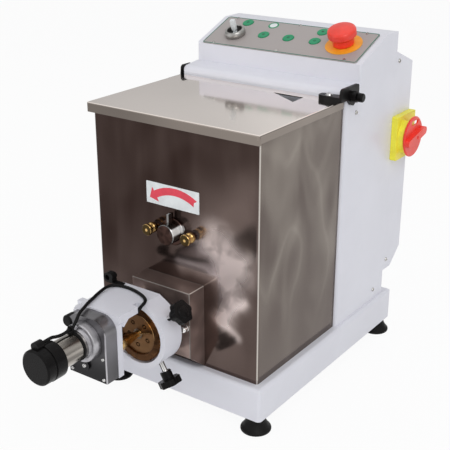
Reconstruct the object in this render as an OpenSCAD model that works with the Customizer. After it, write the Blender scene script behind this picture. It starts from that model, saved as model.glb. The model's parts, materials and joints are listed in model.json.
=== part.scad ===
// Bench-top electric pasta maker: mixing trough over an extruding screw, with a
// clamp-on rotary cutter, in a folded steel column. Left-right is X, front is -Y.

/* [Base] */
// Width of the base pan
base_w = 285; // [280:1:300]
// Depth of the base pan
base_d = 372; // [366:1:390]
// Height of the base pan above its feet
base_h = 48; // [40:1:60]
// Height of a rubber foot
foot_h = 22; // [18:1:28]
// Inset of the right foot centres from the edges of the pan
foot_inset = 16; // [14:1:30]
// Inset of the left foot centres from the left edge of the pan
foot_inset_left = 30; // [21:1:34]
// Bend radius of the upper edges of the pan
base_bend = 6; // [3:0.5:8]

/* [Column] */
// Width of the column and of its rear cover
column_w = 271; // [268:1:276]
// Front face of the column
column_front = 207; // [207:1:207]
// Back face of the column
column_back = 351; // [345:1:356]
// Back face of the rear cover
cover_back = 405; // [402:1:412]
// Front face of the control head
head_front = 243.5; // [240:0.5:246]
// Height of the shelf in front of the control head
shelf_z = 418.5; // [417:0.5:421]
// Height of the lower edge of the slanted panel
panel_low_z = 444.3; // [440:0.1:450]
// Height of the top of the column
column_top = 472.8; // [472.8:0.1:480]
// Slope of the control panel in degrees
panel_slope = 21.8; // [18:0.1:24]
// Thickness of the painted sheet steel
sheet = 2; // [1.5:0.1:2.5]

/* [Control panel] */
// Width of the control plate
plate_w = 254; // [248:1:256]
// Depth of the control plate, up the slope
plate_d = 76; // [70:1:76]
// Distance of the stop button from the lower edge of the plate
stop_v = 39.5; // [38:0.5:42]
// Distance of the stop button from the middle
stop_u = 88.5; // [86:0.5:92]
// Distance of the toggle from the lower edge of the plate
toggle_v = 29.5; // [28:0.5:42]
// Distance of the toggle from the middle
toggle_u = 85.5; // [84:0.5:92]
// Diameter of the stop button
stop_dia = 40; // [36:1:44]

/* [Casing and lid] */
// Width of the stainless casing
casing_w = 262; // [258:1:264]
// Front face of the casing
casing_front = 11; // [11:1:11]
// Thickness of the stainless sheet
steel = 1.5; // [1:0.1:1.5]
// Top of the lid above the floor
lid_top = 405; // [405:1:405]
// Width of the lid
lid_w = 270; // [268:1:271]
// Front edge of the lid
lid_front = 2.5; // [0:0.5:4]
// Back edge of the lid
lid_back = 203; // [200:0.5:203]
// Height of the front lip of the lid
lid_lip = 13; // [11:1:16]
// Inner radius of the round trough bottom
trough_r = 80; // [78:1:81]

/* [Extruder] */
// Height of the mixing shaft above the floor
mixer_z = 253; // [253:1:253]
// Outer diameter of the die
die_dia = 59; // [57:1:60]
// Front face of the die
die_y = -66; // [-68:1:-66]
// Number of shaping holes in the die
die_holes = 5; // [3:1:7]
// Outer diameter of the extruding screw
auger_dia = 51; // [48:0.5:51.4]
// Pitch of the extruding screw
auger_pitch = 40; // [32:1:50]

/* [Drive] */
// Module of the main gears
gear_module = 2.5; // [2.5:0.5:2.5]
// Teeth on the mixing shaft gear
mixer_teeth = 56; // [56:1:56]
// Teeth on the extruding screw gear
auger_teeth = 36; // [36:1:36]
// Teeth on the motor pinion
pinion_teeth = 18; // [18:1:18]
// Thickness taken off every tooth as backlash
backlash = 0.25; // [0.2:0.05:0.4]

/* [Cutter] */
// Module of the cutter gears
cutter_module = 0.7; // [0.7:0.1:0.7]
// Teeth on the cutter motor gear
cutter_teeth = 63; // [63:1:63]
// Teeth on the cutter shaft
cutter_pinion_teeth = 17; // [17:1:17]
// Outer radius of the clamping collar
collar_r = 46.5; // [45:0.5:48]
// Bore radius of the clamping collar
collar_bore = 37.6; // [37.6:0.1:37.6]
// Diameter of the cutter motor
cutter_motor_dia = 36; // [34:1:37]
// Diameter of a clamp knob
knob_dia = 31; // [28:1:34]

/* [Main switch] */
// Side of the yellow switch plate, front to back
switch_w = 59; // [56:1:62]
// Height of the yellow switch plate
switch_h = 66; // [60:1:68]
// Diameter of the red switch handle
handle_dia = 60; // [54:1:61]

/* [Hidden] */
$fn = 64;
gap = 0.3;
fit = 0.05;
eps = 1;
base_top = foot_h + base_h;
half_w = column_w / 2;
auger_z = mixer_z - gear_module * (mixer_teeth + auger_teeth) / 2;
motor_z = mixer_z + gear_module * (mixer_teeth + pinion_teeth) / 2;

// Column and head
nose_r = 12;
nose_z = 404;
column_corner = 5;
head_corner = 4;
panel_rise = column_top - panel_low_z;
panel_back = head_front + panel_rise / tan(panel_slope);
cover_top_front = 445;
cover_top_back = 423;
cover_low = 106;
cover_chamfer_y = 29;
cover_chamfer_z = 25;
window_w = 240;
window_low = 118;
window_high = 436;

// Hinge of the lid
hinge_y = 213.5;
hinge_z = 408.8;
hinge_pin_r = 3;
ear_in = half_w + 0.6;
ear_t = 4;
ear_out = ear_in + ear_t;
leaf_t = 6.5;
leaf_y0 = 185;
leaf_y1 = hinge_y - 12;
leaf_x = 103;
ear_left_t = 2.5;

// Control panel
plate_t = 1.5;
plate_corner = 4;
key_r = 8.3;
key_h = 1.2;
key_flange = 1.6;
key_spots = [[-85, 64], [-42, 38], [0, 38], [43, 38.3], [42.8, 63]];
plate_screw_u = 108;
plate_screw_v = [4, plate_d - 3.2];
label_low = [-44, 284];
label_high = [41, 313.5];
label_t = 0.5;
toggle_ring_r = 15.4;
toggle_ring_h = 10;
toggle_bore = 10.6;
toggle_pivot = 3;
toggle_pin_r = 1.5;
toggle_len = 21.5;
stop_barrel_r = 11;
stop_ring_r = 26;
stop_skirt_r = 15;
stop_stem_r = 5;
stop_skirt_z = 3;
stop_rim_z = 16;
stop_top_z = 28.5;
stop_well_z = 5.8;

// Casing, trough and front hub
casing_top = lid_top - steel - gap;
casing_bend = 4;
trough_y0 = casing_front + steel;
trough_y1 = 204.5;
trough_wall_z = 300;
trough_rim_z = 385;
trough_rim_x = 116;
throat_w = 38;
throat_y0 = 62;
throat_y1 = 188;
hub_r = 13.8;
hub_flange_r = 18.5;
hub_ear_r = 5.5;
hub_spigot_r = 14;
nut_x = 31;
stud_r = 3;
hub_bore = 8;
box_w = 94;
box_front = -20;
box_top = 188;
box_low = 95;

// Barrel, die and ring nut
barrel_r = 33;
barrel_bore = 26;
flange_r = 45.2;
flange_t = 6;
bolt_x = 41;
bolt_r = 2.6;
bolt_head_r = 4.2;
bolt_head_h = 9;
nose_end = -54;
thread_r = 30.8;
shoulder_y = -45;
shoulder_end = -32;
ring_r = 37.2;
ring_front = die_y - 3;
ring_lip = 27.5;
die_t = 12;
die_pitch = 16;
insert_r = 3.2;
insert_pin = 1.6;

// Drive
case_y0 = column_front + sheet;
case_y1 = 262;
case_wall = 8;
gear_y = case_y0 + case_wall + 3;
gear_t = 24;
shaft_r = 12.5;
auger_shaft_r = 12;
bearing_r = 21;
bearing_w = 10;
motor_r = 52;
motor_y1 = 392;

// Cutter
cutter_distance = cutter_module * (cutter_teeth + cutter_pinion_teeth) / 2;
motor_dz = 14;
motor_x = -sqrt(pow(cutter_distance, 2) - pow(motor_dz, 2));
motor_axis_z = auger_z + motor_dz;
collar_back = -36;
collar_front = -70;
recess_r = 39.5;
recess_y = -58;
arm_left = -65;
arm_right = 12.5;
wall_right = 8.3;
arm_top = 185;
arm_t = 9;
arm_low = 99;
wall_front = -114;
wall_back = -105;
case_front = -135;
case_left = -55;
case_right = 7.5;
case_top = 183;
case_corner = 20;
pocket_y = -129;
cutter_gear_y = [-127, -117];
plug = [-54, 168.5];
plug_r = 8;
tube_end = -210;
cap_start = -188.5;
cap_end = -220;
cap_r = 23.5;
cutter_shaft_r = 3.5;
motor_shaft_r = 4;
lead_hole = [-8.4, 167.9];
blade_reach = 25;
blade_angle = 21;
blade_in = 4.7;
washer_r = 7;
knob_y = -51;
knob_angles = [35, -60];
knob_reach = [-1.5, 2.5];
clamp_stud_r = 3.5;
crown_angle = 60;
cable_r = 2.6;
cable_route = [
    [-28, -206, 177], [-28, -196, 177], [-28, -187, 177], [-28, -181, 175.3], [-28, -173, 173.7],
    [-28, -165, 173.6], [-28, -159, 174.7], [-28, -153, 175.2], [-28.3, -148.5, 178.2],
    [-29.2, -144, 181.6], [-31.2, -138, 185.4], [-33.4, -131, 187.8],
    [-36.4, -122, 188.2], [-41, -111, 188], [-45, -98, 187.9], [-49, -85, 187.8], [-52, -72, 187.8],
    [-52.8, -62, 187.8], [-50.5, -55.5, 187.8], [-45, -51.4, 187.8], [-36, -49.5, 187.8],
    [-26, -49.3, 187.8], [-17, -50.6, 187.8], [-8, -53, 187.8], [0, -56, 187.8], [7, -59.8, 187.8],
    [12.2, -64.2, 187.6], [14.8, -69, 187], [15.4, -73.2, 185.9], [14.2, -75.6, 183.4], [11.6, -75.8, 179.6],
    [8.6, -76, 175.6], [5, -78, 172.4], [0, -84, 170.2], [-5, -93, 168.6], [-8.4, -104.9, 167.9]];

// Main switch, on the right of the rear cover
switch_y = 378;
switch_z = 317.6;
switch_base_t = 9.5;
switch_boss_t = 8.5;
switch_boss_r = 27;
handle_gap = 1.5;
handle_t = 3;
grip_h = 7;
grip_turn = 12;
handle_shaft_r = 8;

// The origin is the middle of the whole outline, on the floor
x_high = half_w + switch_base_t + switch_boss_t + handle_gap + handle_t + grip_h;
foot_r = 20.5;
mid_x = (x_high - max(base_w / 2, base_w / 2 - foot_inset_left + foot_r)) / 2;
mid_y = (cap_end + max(cover_back, switch_y + max(switch_w, handle_dia) / 2)) / 2;

// ---------- Helpers ----------

// Moves the machine so that its outline is centred on the origin
module placed() translate([-mid_x, -mid_y, 0]) children();

// Extrudes a drawing made in X and Z from y0 to y1
module slab_y(y0, y1) translate([0, y1, 0]) rotate([90, 0, 0]) linear_extrude(y1 - y0) children();

// Extrudes a drawing made in Y and Z from x0 to x1
module slab_x(x0, x1) translate([x0, 0, 0]) rotate([90, 0, 90]) linear_extrude(x1 - x0) children();

// Turns a profile of [radius, y] points about an axis along Y
module turned_y(x, z, profile)
    translate([x, 0, z]) rotate([-90, 0, 0]) rotate_extrude() polygon(profile);

// Turns a profile of [radius, x] points about an axis along X
module turned_x(y, z, profile)
    translate([0, y, z]) rotate([0, 90, 0]) rotate_extrude() polygon(profile);

// A round bar along Y
module bar_y(x, z, y0, y1, r) translate([x, y0, z]) rotate([-90, 0, 0]) cylinder(r = r, h = y1 - y0);

// A round bar along X
module bar_x(y, z, x0, x1, r) translate([x0, y, z]) rotate([0, 90, 0]) cylinder(r = r, h = x1 - x0);

// Stands on the slanted panel: u across, v up the slope, height off the surface
module on_panel(u = 0, v = 0, h = 0)
    translate([0, head_front, panel_low_z]) rotate([panel_slope, 0, 0]) translate([u, v, h]) children();

// Rectangle with round corners, from one corner to the other
module round_rect(low, high, r) {
    translate([low.x + r, low.y]) square([high.x - low.x - 2 * r, high.y - low.y]);
    translate([low.x, low.y + r]) square([high.x - low.x, high.y - low.y - 2 * r]);
    for (x = [low.x + r, high.x - r], y = [low.y + r, high.y - r]) translate([x, y]) circle(r);
}

// Rectangle whose two upper corners are round
module arched_rect(low, high, r) {
    translate([low.x, low.y]) square([high.x - low.x, high.y - low.y - r]);
    translate([low.x + r, low.y]) square([high.x - low.x - 2 * r, high.y - low.y]);
    for (x = [low.x + r, high.x - r]) translate([x, high.y - r]) circle(r);
}

// Folded block: round upright corners and round upper edges
module folded_block(low, high, corner, bend)
    intersection() {
        translate([0, 0, low.z]) linear_extrude(high.z - low.z)
            round_rect([low.x, low.y], [high.x, high.y], corner);
        slab_y(low.y, high.y) arched_rect([low.x, low.z], [high.x, high.z], bend);
        slab_x(low.x, high.x) arched_rect([low.y, low.z], [high.y, high.z], bend);
    }

// Pan-head screw with a cross slot, standing on z = 0
module pan_screw(r, h)
    difference() {
        cylinder(r1 = r, r2 = r * 0.75, h = h);
        for (turn = [45, 135]) rotate(turn) translate([-r * 0.55, -r * 0.1, h * 0.45]) cube([r * 1.1, r * 0.2, h]);
    }

// Spur gear outline with involute flanks
function involute(a) = tan(a) * 180 / PI - a;
function flank_angle(r, base, half) = half + involute(20) - (r > base ? involute(acos(base / r)) : 0);
function tooth_radii(root, base, tip) =
    base > root ? [root, base, (base + tip) / 2, tip] : [root, (root + tip) / 2, tip];
function gear_points(teeth, size, first) =
    let (pitch = teeth * size / 2, base = pitch * cos(20), tip = pitch + size, root = pitch - 1.25 * size,
         half = (PI * size / 2 - backlash) / pitch * 90 / PI, radii = tooth_radii(root, base, tip),
         n = len(radii))
    [for (t = [0 : teeth - 1], k = [0 : 2 * n - 1])
        let (r = radii[k < n ? k : 2 * n - 1 - k], side = k < n ? -1 : 1,
             a = first + 360 * t / teeth + side * flank_angle(r, base, half))
        [r * cos(a), r * sin(a)]];

// Tube along a route: a ring at every point, at right angles to the run
function unit(v) = v / norm(v);
function run_at(route, i) =
    unit(route[min(i + 1, len(route) - 1)] - route[max(i - 1, 0)]);
function ring_at(route, i, r, sides) =
    let (t = run_at(route, i), a = unit(cross(t, [0.3, 0.1, 1])), b = cross(t, a))
    [for (k = [0 : sides - 1]) route[i] + r * (cos(360 * k / sides) * a + sin(360 * k / sides) * b)];
module tube(route, r, sides) {
    n = len(route);
    points = [for (i = [0 : n - 1]) each ring_at(route, i, r, sides)];
    walls = [for (i = [0 : n - 2], k = [0 : sides - 1])
        [i * sides + k, i * sides + (k + 1) % sides, (i + 1) * sides + (k + 1) % sides, (i + 1) * sides + k]];
    first = [for (k = [sides - 1 : -1 : 0]) k];
    last = [for (k = [0 : sides - 1]) (n - 1) * sides + k];
    polyhedron(points, concat([first], walls, [last]));
}

// ---------- Base ----------

module base_pan() color("lavender") {
    lip = 46;
    low = [-base_w / 2, 0, foot_h];
    high = [base_w / 2, base_d, base_top];
    wall = [sheet, sheet, sheet];
    difference() {
        folded_block(low, high, base_bend, base_bend);
        folded_block(low + wall, high - wall, base_bend - sheet, base_bend - sheet);
        translate([low.x + lip, low.y + lip, foot_h - eps])
            cube([base_w - 2 * lip, base_d - 2 * lip, sheet + 2 * eps]);
    }
}

module foot(side, end) color("black")
    translate([side * (base_w / 2 - (side < 0 ? foot_inset_left : foot_inset)),
        end < 0 ? foot_inset : base_d - foot_inset, 0])
        rotate_extrude()
            polygon([[0, 0], [foot_r - 1.5, 0], [foot_r, 1.2], [foot_r, 4], [17.5, 7], [13.5, 14],
                [12, foot_h], [0, foot_h]]);

// ---------- Column ----------

module column_profile() {
    polygon([[column_front, base_top], [column_front, nose_z], [column_front + nose_r, nose_z + nose_r],
        [head_front, shelf_z], [head_front, panel_low_z], [panel_back, column_top],
        [column_back, column_top], [column_back, base_top]]);
    translate([column_front + nose_r, nose_z]) circle(nose_r);
}

module column_hollow() {
    inner_panel = head_front + (panel_rise - sheet + sheet / cos(panel_slope)) / tan(panel_slope);
    polygon([[column_front + sheet, base_top - eps], [column_front + sheet, nose_z],
        [column_front + nose_r, nose_z + nose_r - sheet], [head_front + sheet, shelf_z - sheet],
        [head_front + sheet, panel_low_z + sheet * tan(panel_slope) - sheet / cos(panel_slope)],
        [inner_panel, column_top - sheet], [column_back - sheet, column_top - sheet],
        [column_back - sheet, base_top - eps]]);
    translate([column_front + nose_r, nose_z]) circle(nose_r - sheet);
}

module column_plan() {
    translate([-half_w, column_front + column_corner])
        square([column_w, column_back - column_front - column_corner]);
    translate([-half_w + column_corner, column_front]) square([column_w - 2 * column_corner, 2 * column_corner]);
    for (side = [-1, 1])
        translate([side * (half_w - column_corner), column_front + column_corner]) circle(column_corner);
}

// What the round upright edge of the head leaves over
module head_edge()
    translate([half_w - head_corner, head_front, shelf_z]) linear_extrude(column_top) difference() {
        translate([0, -eps]) square([head_corner + eps, head_corner + eps]);
        translate([0, head_corner]) circle(head_corner);
    }

module column_housing() color("lavender")
    difference() {
        intersection() {
            slab_x(-half_w, half_w) column_profile();
            translate([0, 0, base_top - eps]) linear_extrude(column_top) column_plan();
        }
        slab_x(-half_w + sheet, half_w - sheet) column_hollow();
        bar_y(0, mixer_z, column_front - eps, column_front + 2 * sheet, bearing_r + 2);
        bar_y(0, auger_z, column_front - eps, column_front + 2 * sheet, barrel_r + 0.4);
        slab_y(column_back - 2 * sheet, column_back + eps)
            round_rect([-window_w / 2, window_low], [window_w / 2, window_high], 10);
        bar_y(-60, 88, column_back - 2 * sheet, column_back + eps, 8);
        for (side = [0, 1]) mirror([side, 0, 0])
            bar_x(hinge_y, hinge_z, half_w - 7, half_w + eps, hinge_pin_r + fit);
        on_panel(-toggle_u, toggle_v, -3 * sheet) cylinder(r = toggle_bore + 0.2, h = 4 * sheet);
        on_panel(stop_u, stop_v, -3 * sheet) cylinder(r = stop_barrel_r + 0.2, h = 4 * sheet);
        for (spot = key_spots) on_panel(spot.x, spot.y, -3 * sheet) cylinder(r = key_r + 2.2, h = 4 * sheet);
        for (side = [0, 1]) mirror([side, 0, 0]) head_edge();
    }

module rear_cover() color("lavender")
    difference() {
        slab_x(-half_w, half_w)
            polygon([[column_back, cover_low], [cover_back - cover_chamfer_y, cover_low],
                [cover_back, cover_low + cover_chamfer_z], [cover_back, cover_top_back],
                [column_back, cover_top_front]]);
        slab_x(-half_w + sheet, half_w - sheet)
            polygon([[column_back - eps, cover_low + sheet],
                [cover_back - cover_chamfer_y - sheet / 2, cover_low + sheet],
                [cover_back - sheet, cover_low + cover_chamfer_z + sheet / 2],
                [cover_back - sheet, cover_top_back - sheet], [column_back - eps, cover_top_front - sheet]]);
        bar_x(switch_y, switch_z, half_w - 2 * sheet, half_w + eps, 12);
        for (row = [0 : 5], side = [-1, 1])
            translate([side * 50 - 30, cover_back - 2 * sheet, 170 + 9 * row]) cube([60, 3 * sheet, 4]);
    }

module panel_screws() color("silver") {
    for (u = [-plate_screw_u, 0, plate_screw_u], v = plate_screw_v) on_panel(u, v, plate_t) pan_screw(2.4, 1.2);
    for (side = [-1, 1], spot = [[321, 85.5], [235.7, 381.7], [360, 430], [360, 122]])
        translate([side * half_w, spot.x, spot.y]) rotate([0, side * 90, 0]) pan_screw(3.2, 1.6);
}

// ---------- Control panel ----------

module control_plate() color("tan")
    difference() {
        on_panel() linear_extrude(plate_t)
            round_rect([-plate_w / 2, 0.5], [plate_w / 2, plate_d - 0.5], plate_corner);
        on_panel(-toggle_u, toggle_v, -eps) cylinder(r = toggle_bore + 0.2, h = 2 * eps + plate_t);
        on_panel(stop_u, stop_v, -eps) cylinder(r = stop_barrel_r + 0.2, h = 2 * eps + plate_t);
        for (spot = key_spots) on_panel(spot.x, spot.y, -eps) cylinder(r = key_r + gap, h = plate_t + 2 * eps);
    }

module panel_key(index) color("seagreen") {
    spot = key_spots[index];
    on_panel(spot.x, spot.y) rotate_extrude()
        polygon([[0, -0.1 - key_flange], [key_r + 1.5, -0.1 - key_flange], [key_r + 1.5, -0.1], [key_r, -0.1],
            [key_r, plate_t + key_h * 0.5], [key_r - 0.7, plate_t + key_h], [0, plate_t + key_h]]);
}

module toggle_bezel() color("silver")
    on_panel(-toggle_u, toggle_v, plate_t) rotate_extrude()
        polygon([[toggle_bore + 0.05, 0], [toggle_ring_r - 1.4, 0], [toggle_ring_r - 0.3, 1.8], [toggle_ring_r, 4],
            [toggle_ring_r - 0.3, 6.2], [toggle_ring_r - 1.3, 8.4], [toggle_ring_r - 2.6, toggle_ring_h - 0.3],
            [toggle_ring_r - 3.4, toggle_ring_h], [toggle_bore + 0.4, toggle_ring_h - 0.6],
            [toggle_bore + 0.05, 7]]);

module toggle_lever() color("white")
    on_panel(-toggle_u, toggle_v, plate_t + toggle_pivot) {
        sphere(r = 3.4);
        bar_y(0, 0, -5.5, 5.5, toggle_pin_r);
        cylinder(r = 2.3, h = 8);
        slab_y(-2.2, 2.2) polygon([[-2.6, 4.5], [2.6, 4.5], [3.4, 7], [3.8, toggle_len - 1.4], [3, toggle_len],
            [-3, toggle_len], [-3.8, toggle_len - 1.4], [-3.4, 7]]);
    }

module estop_ring() color("orange")
    on_panel(stop_u, stop_v, plate_t) difference() {
        cylinder(r = stop_ring_r, h = 0.9);
        translate([0, 0, -eps]) cylinder(r = stop_barrel_r + gap, h = 3 * eps);
    }

module estop_stem() color("dimgray")
    on_panel(stop_u, stop_v) rotate_extrude()
        polygon([[0, -16], [stop_stem_r, -16], [stop_stem_r, 17], [stop_stem_r - 1, 18], [0, 18]]);

module estop_head() color("red")
    on_panel(stop_u, stop_v) difference() {
        rotate_extrude()
            polygon(concat([[0, stop_skirt_z], [stop_skirt_r - 0.8, stop_skirt_z],
                [stop_skirt_r, stop_skirt_z + 0.8], [stop_skirt_r, stop_rim_z - 4],
                [stop_dia / 2 - 2, stop_rim_z - 1.5],
                [stop_dia / 2, stop_rim_z + 0.5], [stop_dia / 2, stop_top_z - 6]],
                [for (a = [15 : 15 : 90]) [stop_dia / 2 - 4 + 4 * cos(a), stop_top_z - 6 + 4 * sin(a)]],
                [[stop_dia / 4, stop_top_z - 0.6], [0, stop_top_z]]));
        translate([0, 0, stop_skirt_z - eps]) cylinder(r = stop_stem_r + fit, h = 18.4 - stop_skirt_z + eps);
        translate([0, 0, stop_skirt_z - eps]) cylinder(r = stop_barrel_r + 1, h = stop_well_z - stop_skirt_z + eps);
    }

module switch_blocks() color("dimgray") {
    on_panel(-toggle_u, toggle_v) difference() {
        union() {
            translate([0, 0, -26]) cylinder(r = toggle_bore, h = 26 + plate_t + 5);
            translate([-12, -10, -44]) cube([24, 20, 22]);
        }
        translate([0, 0, plate_t + toggle_pivot]) sphere(r = 3.8);
        translate([0, 0, plate_t + toggle_pivot]) cylinder(r1 = 3.2, r2 = 6.6, h = 4);
        translate([0, 0, plate_t + toggle_pivot]) bar_y(0, 0, -6, 6, toggle_pin_r + fit);
    }
    on_panel(stop_u, stop_v) difference() {
        union() {
            translate([0, 0, -24]) cylinder(r = stop_barrel_r, h = 28.5);
            translate([-14, -14, -50]) cube([28, 28, 27]);
        }
        translate([0, 0, -22]) cylinder(r = stop_stem_r + fit, h = 40);
    }
    difference() {
        translate([half_w - sheet - 48, switch_y - 23, switch_z - 23]) cube([48, 42, 46]);
        bar_x(switch_y, switch_z, half_w - sheet - 10, half_w, handle_shaft_r + 1);
    }
}

// ---------- Main switch ----------

module switch_plate() color("gold")
    difference() {
        union() {
            slab_x(half_w, half_w + switch_base_t)
                round_rect([switch_y - switch_w / 2, switch_z - switch_h / 2],
                    [switch_y + switch_w / 2, switch_z + switch_h / 2], 3);
            bar_x(switch_y, switch_z, half_w + switch_base_t - eps, half_w + switch_base_t + switch_boss_t,
                switch_boss_r);
        }
        bar_x(switch_y, switch_z, half_w - eps, x_high, handle_shaft_r + fit);
        translate([half_w + switch_base_t, switch_y - 9, switch_z + 11.5])
            cube([switch_boss_t + eps, 2 * switch_boss_r, switch_boss_r]);
    }

module switch_handle() color("red") {
    disc_in = half_w + switch_base_t + switch_boss_t + handle_gap;
    disc_out = disc_in + handle_t;
    difference() {
        union() {
            turned_x(switch_y, switch_z, [[0, disc_in], [handle_dia / 2 - 0.6, disc_in],
                [handle_dia / 2, disc_in + 0.6], [handle_dia / 2, disc_out - 1.2],
                [handle_dia / 2 - 1.2, disc_out], [0, disc_out]]);
            bar_x(switch_y, switch_z, half_w - sheet - 6, disc_in + eps, handle_shaft_r);
            slab_x(disc_out - eps, disc_out + grip_h) translate([switch_y, switch_z]) rotate(grip_turn)
                round_rect([-handle_dia / 2, -6], [handle_dia / 2 + 0.4, 6], 5.9);
        }
        slab_x(disc_in - eps, disc_out + eps)
            round_rect([switch_y - 8.5, switch_z + 17.5], [switch_y + 13.5, switch_z + 24], 3.2);
        bar_x(switch_y, switch_z, disc_out + grip_h - 3, x_high + eps, 2.5);
    }
}

// ---------- Casing and trough ----------

module arrow_label() color("white")
    slab_y(casing_front - label_t, casing_front) round_rect(label_low, label_high, 1);

module casing() color("silver") {
    half = casing_w / 2;
    difference() {
        translate([0, 0, base_top]) linear_extrude(casing_top - base_top)
            round_rect([-half, casing_front], [half, column_front + casing_bend], casing_bend);
        translate([0, 0, base_top - eps]) linear_extrude(casing_top)
            round_rect([-half + steel, casing_front + steel], [half - steel, column_front + casing_bend + eps],
                casing_bend - steel);
        translate([-half - eps, column_front, base_top - eps]) cube([casing_w + 2 * eps, 20, casing_top]);
        bar_y(0, mixer_z, casing_front - eps, casing_front + 2 * steel, hub_spigot_r + 0.2);
        bar_y(0, auger_z, casing_front - eps, casing_front + 2 * steel, barrel_r + 0.4);
    }
    for (side = [-1, 1]) bar_y(side * nut_x, mixer_z, casing_front - 12, casing_front + 0.4, stud_r);
}

module trough_section(grow) {
    translate([0, mixer_z]) circle(trough_r + grow);
    polygon([[-trough_r - grow, mixer_z], [trough_r + grow, mixer_z], [trough_r + grow, trough_wall_z],
        [trough_rim_x + grow, trough_rim_z], [-trough_rim_x - grow, trough_rim_z],
        [-trough_r - grow, trough_wall_z]]);
}

module trough() color("silver")
    difference() {
        union() {
            slab_y(trough_y0, trough_y1) trough_section(steel);
            translate([-casing_w / 2 + steel, trough_y0, trough_rim_z - steel])
                cube([casing_w - 2 * steel, trough_y1 - trough_y0, steel]);
        }
        slab_y(trough_y0 + steel, trough_y1 - steel) {
            trough_section(0);
            translate([-trough_rim_x, trough_rim_z - eps]) square([2 * trough_rim_x, 3 * eps]);
        }
        translate([-throat_w / 2, throat_y0, auger_z]) cube([throat_w, throat_y1 - throat_y0, 60]);
        bar_y(0, mixer_z, trough_y0 - eps, trough_y0 + 2 * steel, hub_spigot_r + 0.2);
        bar_y(0, mixer_z, trough_y1 - 2 * steel, trough_y1 + eps, shaft_r + 1);
    }

module front_hub() color("silver")
    difference() {
        union() {
            turned_y(0, mixer_z, [[0, casing_front - 20], [hub_r - 1.2, casing_front - 20],
                [hub_r, casing_front - 18.8], [hub_r, casing_front - 4],
                [hub_flange_r - 0.8, casing_front - 4], [hub_flange_r, casing_front - 3.2],
                [hub_flange_r, casing_front], [hub_spigot_r, casing_front], [hub_spigot_r, trough_y0 + 6],
                [0, trough_y0 + 6]]);
            slab_y(casing_front - 4, casing_front)
                round_rect([-nut_x - hub_ear_r, mixer_z - hub_ear_r], [nut_x + hub_ear_r, mixer_z + hub_ear_r],
                    hub_ear_r - 0.1);
            translate([-1.5, casing_front - 13, mixer_z + hub_r - 1]) cube([3, 10, 14]);
        }
        bar_y(0, mixer_z, casing_front - 8, trough_y0 + 7, hub_bore + fit);
        for (side = [-1, 1]) bar_y(side * nut_x, mixer_z, casing_front - 5, casing_front + eps, stud_r + 0.2);
    }

module thumb_nut(side) color("goldenrod")
    difference() {
        turned_y(side * nut_x, mixer_z, [[0, -7.8], [2.2, -7.8], [2.8, -8.4], [6.5, -8.4], [7.8, -7.2], [7.8, -3.6],
            [6.6, -2.8], [4.9, -2], [4.9, 0.4], [6.2, 1], [7.2, 2.2], [7.2, 5.6], [6.4, 6.6], [0, 6.6]]);
        bar_y(side * nut_x, mixer_z, -2, 7.6, stud_r + fit);
    }

module barrel_cover() color("silver")
    difference() {
        slab_x(-box_w / 2, box_w / 2)
            polygon([[box_front, box_low], [box_front, box_top], [casing_front, box_top],
                [casing_front, base_top]]);
        slab_x(-box_w / 2 + steel, box_w / 2 - steel)
            polygon([[box_front + steel, base_top - eps], [box_front + steel, box_top - steel],
                [casing_front + eps, box_top - steel], [casing_front + eps, base_top - eps]]);
        bar_y(0, auger_z, box_front - eps, box_front + 2 * steel, barrel_r + 0.4);
        for (side = [-1, 1]) bar_y(side * bolt_x, auger_z, box_front - eps, box_front + 2 * steel, bolt_r);
    }

// ---------- Extruder ----------

module barrel() color("gray")
    difference() {
        union() {
            bar_y(0, auger_z, shoulder_end - eps, case_y0, barrel_r);
            turned_y(0, auger_z, [[0, nose_end], [thread_r - 0.8, nose_end], [thread_r, nose_end + 0.8],
                [thread_r, shoulder_y],
                [collar_bore - fit, shoulder_y], [collar_bore - fit, shoulder_end], [0, shoulder_end]]);
            bar_y(0, auger_z, box_front + steel, box_front + steel + flange_t, flange_r);
            difference() {
                translate([-throat_w / 2 - 7, throat_y0 - 8, auger_z])
                    cube([throat_w + 14, throat_y1 - throat_y0 + 16, 44]);
                bar_y(0, mixer_z, throat_y0 - 9, throat_y1 + 9, trough_r + steel + 0.1);
            }
        }
        bar_y(0, auger_z, nose_end - eps, case_y0 - 14, barrel_bore);
        bar_y(0, auger_z, case_y0 - 15, case_y0 + eps, auger_shaft_r + 0.5);
        translate([-throat_w / 2, throat_y0, auger_z]) cube([throat_w, throat_y1 - throat_y0, 60]);
        for (side = [-1, 1])
            bar_y(side * bolt_x, auger_z, box_front, box_front + steel + flange_t + eps, bolt_r);
    }

// Turns its children about the axis of the barrel
module rotate_about_barrel(angle)
    translate([0, 0, auger_z]) rotate([0, -angle, 0]) translate([0, 0, -auger_z]) children();

module barrel_bolts() color("silver")
    for (side = [-1, 1]) {
        bar_y(side * bolt_x, auger_z, box_front - eps, box_front + steel + flange_t, bolt_r);
        turned_y(side * bolt_x, auger_z, [[0, box_front - bolt_head_h], [bolt_head_r - 2.2, box_front - bolt_head_h],
            [bolt_head_r - 0.6, box_front - bolt_head_h + 1.6], [bolt_head_r, box_front - bolt_head_h + 3.6],
            [bolt_head_r, box_front - 1], [bolt_head_r + 0.6, box_front - 1], [bolt_head_r + 0.6, box_front],
            [0, box_front]]);
    }

module ring_nut() color("peru")
    difference() {
        turned_y(0, auger_z, [[ring_lip, ring_front + 0.6], [ring_lip + 0.8, ring_front], [ring_r - 1, ring_front],
            [ring_r, ring_front + 1], [ring_r, shoulder_y - 1], [thread_r + fit, shoulder_y - 1],
            [thread_r + fit, die_y + 0.1], [ring_lip, die_y + 0.1]]);
        for (k = [0 : 5]) rotate_about_barrel(60 * k + 10)
            translate([ring_r - 1.6, ring_front - eps, auger_z - 3]) cube([4, 6, 6]);
    }

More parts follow.
